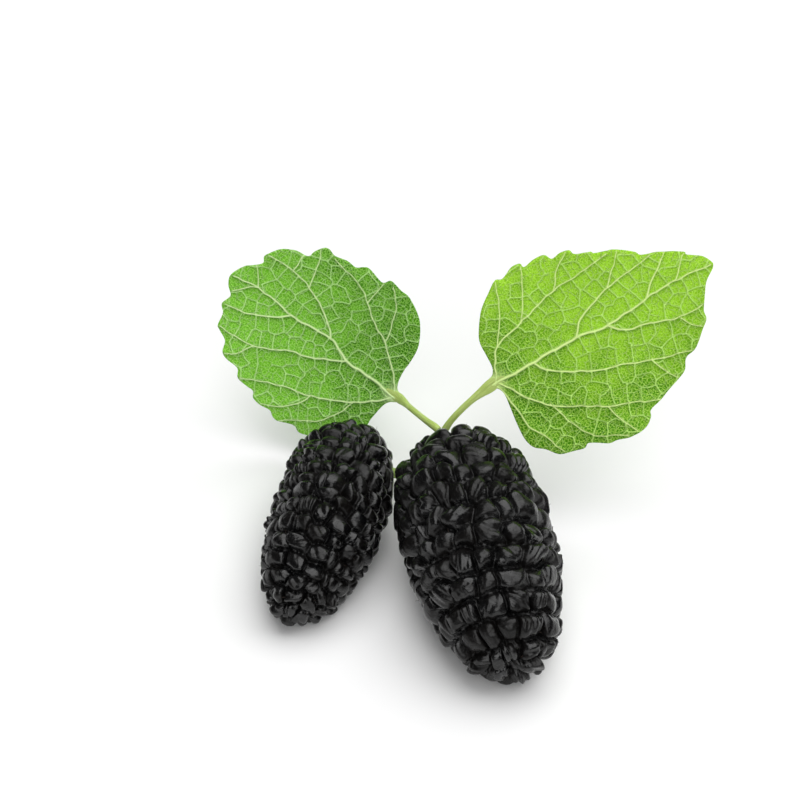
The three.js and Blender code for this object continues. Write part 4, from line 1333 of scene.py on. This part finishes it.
hairForm = {
    "root": (0, 0, -0.00008), "bendAt": 0.6, "taper": -0.8, "steps": 4, "sides": 5,
    "creaseLimit": 0.3,          # no hairs deeper in a crease than this
    "lean": (0.7, 0.7, 3.1), "sizes": (0.5, 1.2),
    "frontGap": 2,               # lengths of a hair kept free in front
}

hairFinish = {
    "first": tint("1c1613"), "second": tint("3a2c22"), "patchScale": 1500.0, "grainScale": 9000.0,
    "roughness": (0.5, 0.8),
}


def makeHairTree():
    inputs = [("Skin", "NodeSocketGeometry", None), ("Seed", "NodeSocketInt", 7)]
    inputs += [(label, "NodeSocketFloat", value) for label, value in (
        ("Density", 60000.0), ("Length", 0.0004), ("Thickness", 0.00003), ("Bend", 0.0001),
        ("Floor Clearance", 0.0008), ("Front Limit", -0.023))]
    inputs += [("Material", "NodeSocketMaterial", None)]
    outputs = [("Hairs", "NodeSocketGeometry")]
    tree, given, result = newGroup("styleHairs", inputs, outputs, "GeometryNodeTree")
    form = hairForm
    place = put(tree, "ShaderNodeSeparateXYZ", {0: put(tree, "GeometryNodeInputPosition").outputs[0]})
    above = maths(tree, "GREATER_THAN", place.outputs["Z"], given["Floor Clearance"])
    behind = maths(tree, "GREATER_THAN", place.outputs["Y"], given["Front Limit"])
    crease = put(tree, "GeometryNodeInputNamedAttribute", {"Name": "creaseDepth"}, data_type="FLOAT")
    onTop = maths(tree, "LESS_THAN", crease.outputs[0], form["creaseLimit"])
    roots = put(tree, "GeometryNodeDistributePointsOnFaces", {
        "Mesh": given["Skin"], "Density": given["Density"], "Seed": given["Seed"],
        "Selection": maths(tree, "MULTIPLY", maths(tree, "MULTIPLY", above, behind), onTop),
    })
    half = maths(tree, "MULTIPLY", given["Length"], form["bendAt"])
    middle = put(tree, "ShaderNodeCombineXYZ", {0: given["Bend"], 2: half})
    end = put(tree, "ShaderNodeCombineXYZ", {1: given["Bend"], 2: given["Length"]})
    line = put(tree, "GeometryNodeCurveQuadraticBezier", {
        "Resolution": form["steps"], "Start": form["root"],
        "Middle": middle.outputs[0], "End": end.outputs[0],
    })
    along = put(tree, "GeometryNodeSplineParameter").outputs["Factor"]
    taper = maths(tree, "MULTIPLY_ADD", along, form["taper"], 1.0)
    ring = put(tree, "GeometryNodeCurvePrimitiveCircle", {"Resolution": form["sides"], "Radius": 1.0})
    hair = put(tree, "GeometryNodeCurveToMesh", {
        "Curve": line.outputs[0], "Profile Curve": ring.outputs[0],
        "Scale": maths(tree, "MULTIPLY", taper, given["Thickness"]), "Fill Caps": True,
    })
    lean = put(tree, "FunctionNodeRandomValue", {
        0: tuple(-most for most in form["lean"]), 1: form["lean"], "Seed": given["Seed"],
    }, data_type="FLOAT_VECTOR")
    turned = put(tree, "FunctionNodeRotateRotation", {
        "Rotation": roots.outputs["Rotation"],
        "Rotate By": put(tree, "FunctionNodeEulerToRotation", {0: lean.outputs[0]}).outputs[0],
    }, rotation_space="LOCAL")
    least, most = form["sizes"]
    size = put(tree, "FunctionNodeRandomValue", {2: least, 3: most, "Seed": given["Seed"]}, data_type="FLOAT")
    spread = put(tree, "GeometryNodeInstanceOnPoints", {
        "Points": roots.outputs["Points"], "Instance": hair.outputs[0],
        "Rotation": turned.outputs[0], "Scale": size.outputs[1],
    })
    dress(tree, spread, given, result["Hairs"])
    return tree


def makeHairMaterial():
    finish = hairFinish
    material, tree, shader = newMaterial("driedStyle")
    grain = grainOf(tree, objectPlace(tree), finish)
    feed(tree, shader, {
        "Base Color": mixColour(tree, grain["Patch"], finish["first"], finish["second"]),
        "Roughness": ramp(tree, grain["Grain"], 0.0, 1.0, *finish["roughness"]),
    })
    return material


hairTree = makeHairTree()
hairValues = {
    **styleHairs, "Material": makeHairMaterial(),
    "Front Limit": cadBounds[0][1] + hairForm["frontGap"] * styleHairs["Length"],
}
for hairName, berryPiece in (("largeBerryStyles", largeBerry), ("smallBerryStyles", smallBerry)):
    hairs = runTree(berryPiece, hairTree, hairValues, hairName)
    finishPiece(hairs, "berry_skin")
    print(hairName, "made:", len(hairs.data.polygons), "faces")


# Table and light

tableForm = {
    "halfWidth": 3.0,
    "shade": (0.93, 0.92),       # its brightness, and that of its faint patches
    "patchScale": 3.0, "grainScale": 300.0, "roughness": 0.9, "shine": 0.1,
}


def makeTable():
    form = tableForm
    material, tree, shader = newMaterial("whiteTable")
    grain = grainOf(tree, objectPlace(tree), form)
    plain, patchy = [(shade, shade, shade, 1) for shade in form["shade"]]
    feed(tree, shader, {
        "Base Color": mixColour(tree, grain["Patch"], plain, patchy),
        "Roughness": form["roughness"], "Specular IOR Level": form["shine"],
    })
    half = form["halfWidth"]
    mesh = bpy.data.meshes.new("table")
    corners = [(-half, -half, 0), (half, -half, 0), (half, half, 0), (-half, half, 0)]
    mesh.from_pydata(corners, [], [(0, 1, 2, 3)])
    mesh.materials.append(material)
    table = addObject("table", mesh)


def makeLight():
    for name, lamp in light["lamps"].items():
        sun = bpy.data.lights.new(name, "SUN")
        sun.energy = lamp["strength"]
        sun.angle = math.radians(lamp["angle"])
        made = addObject(name, sun)
        made.rotation_euler = (math.radians(lamp["turn"][0]), math.radians(lamp["turn"][1]), 0)
    world = bpy.data.worlds.new("studio")
    bpy.context.scene.world = world
    world.use_nodes = True
    sky = world.node_tree
    seen = put(sky, "ShaderNodeLightPath").outputs["Is Camera Ray"]
    strength = ramp(sky, seen, 0.0, 1.0, light["domeStrength"], light["backdropStrength"])
    feed(sky, sky.nodes["Background"], {"Color": (1, 1, 1, 1), "Strength": strength})
    bpy.context.scene.view_settings.view_transform = "Standard"


makeTable()
makeLight()
print("table and light made")
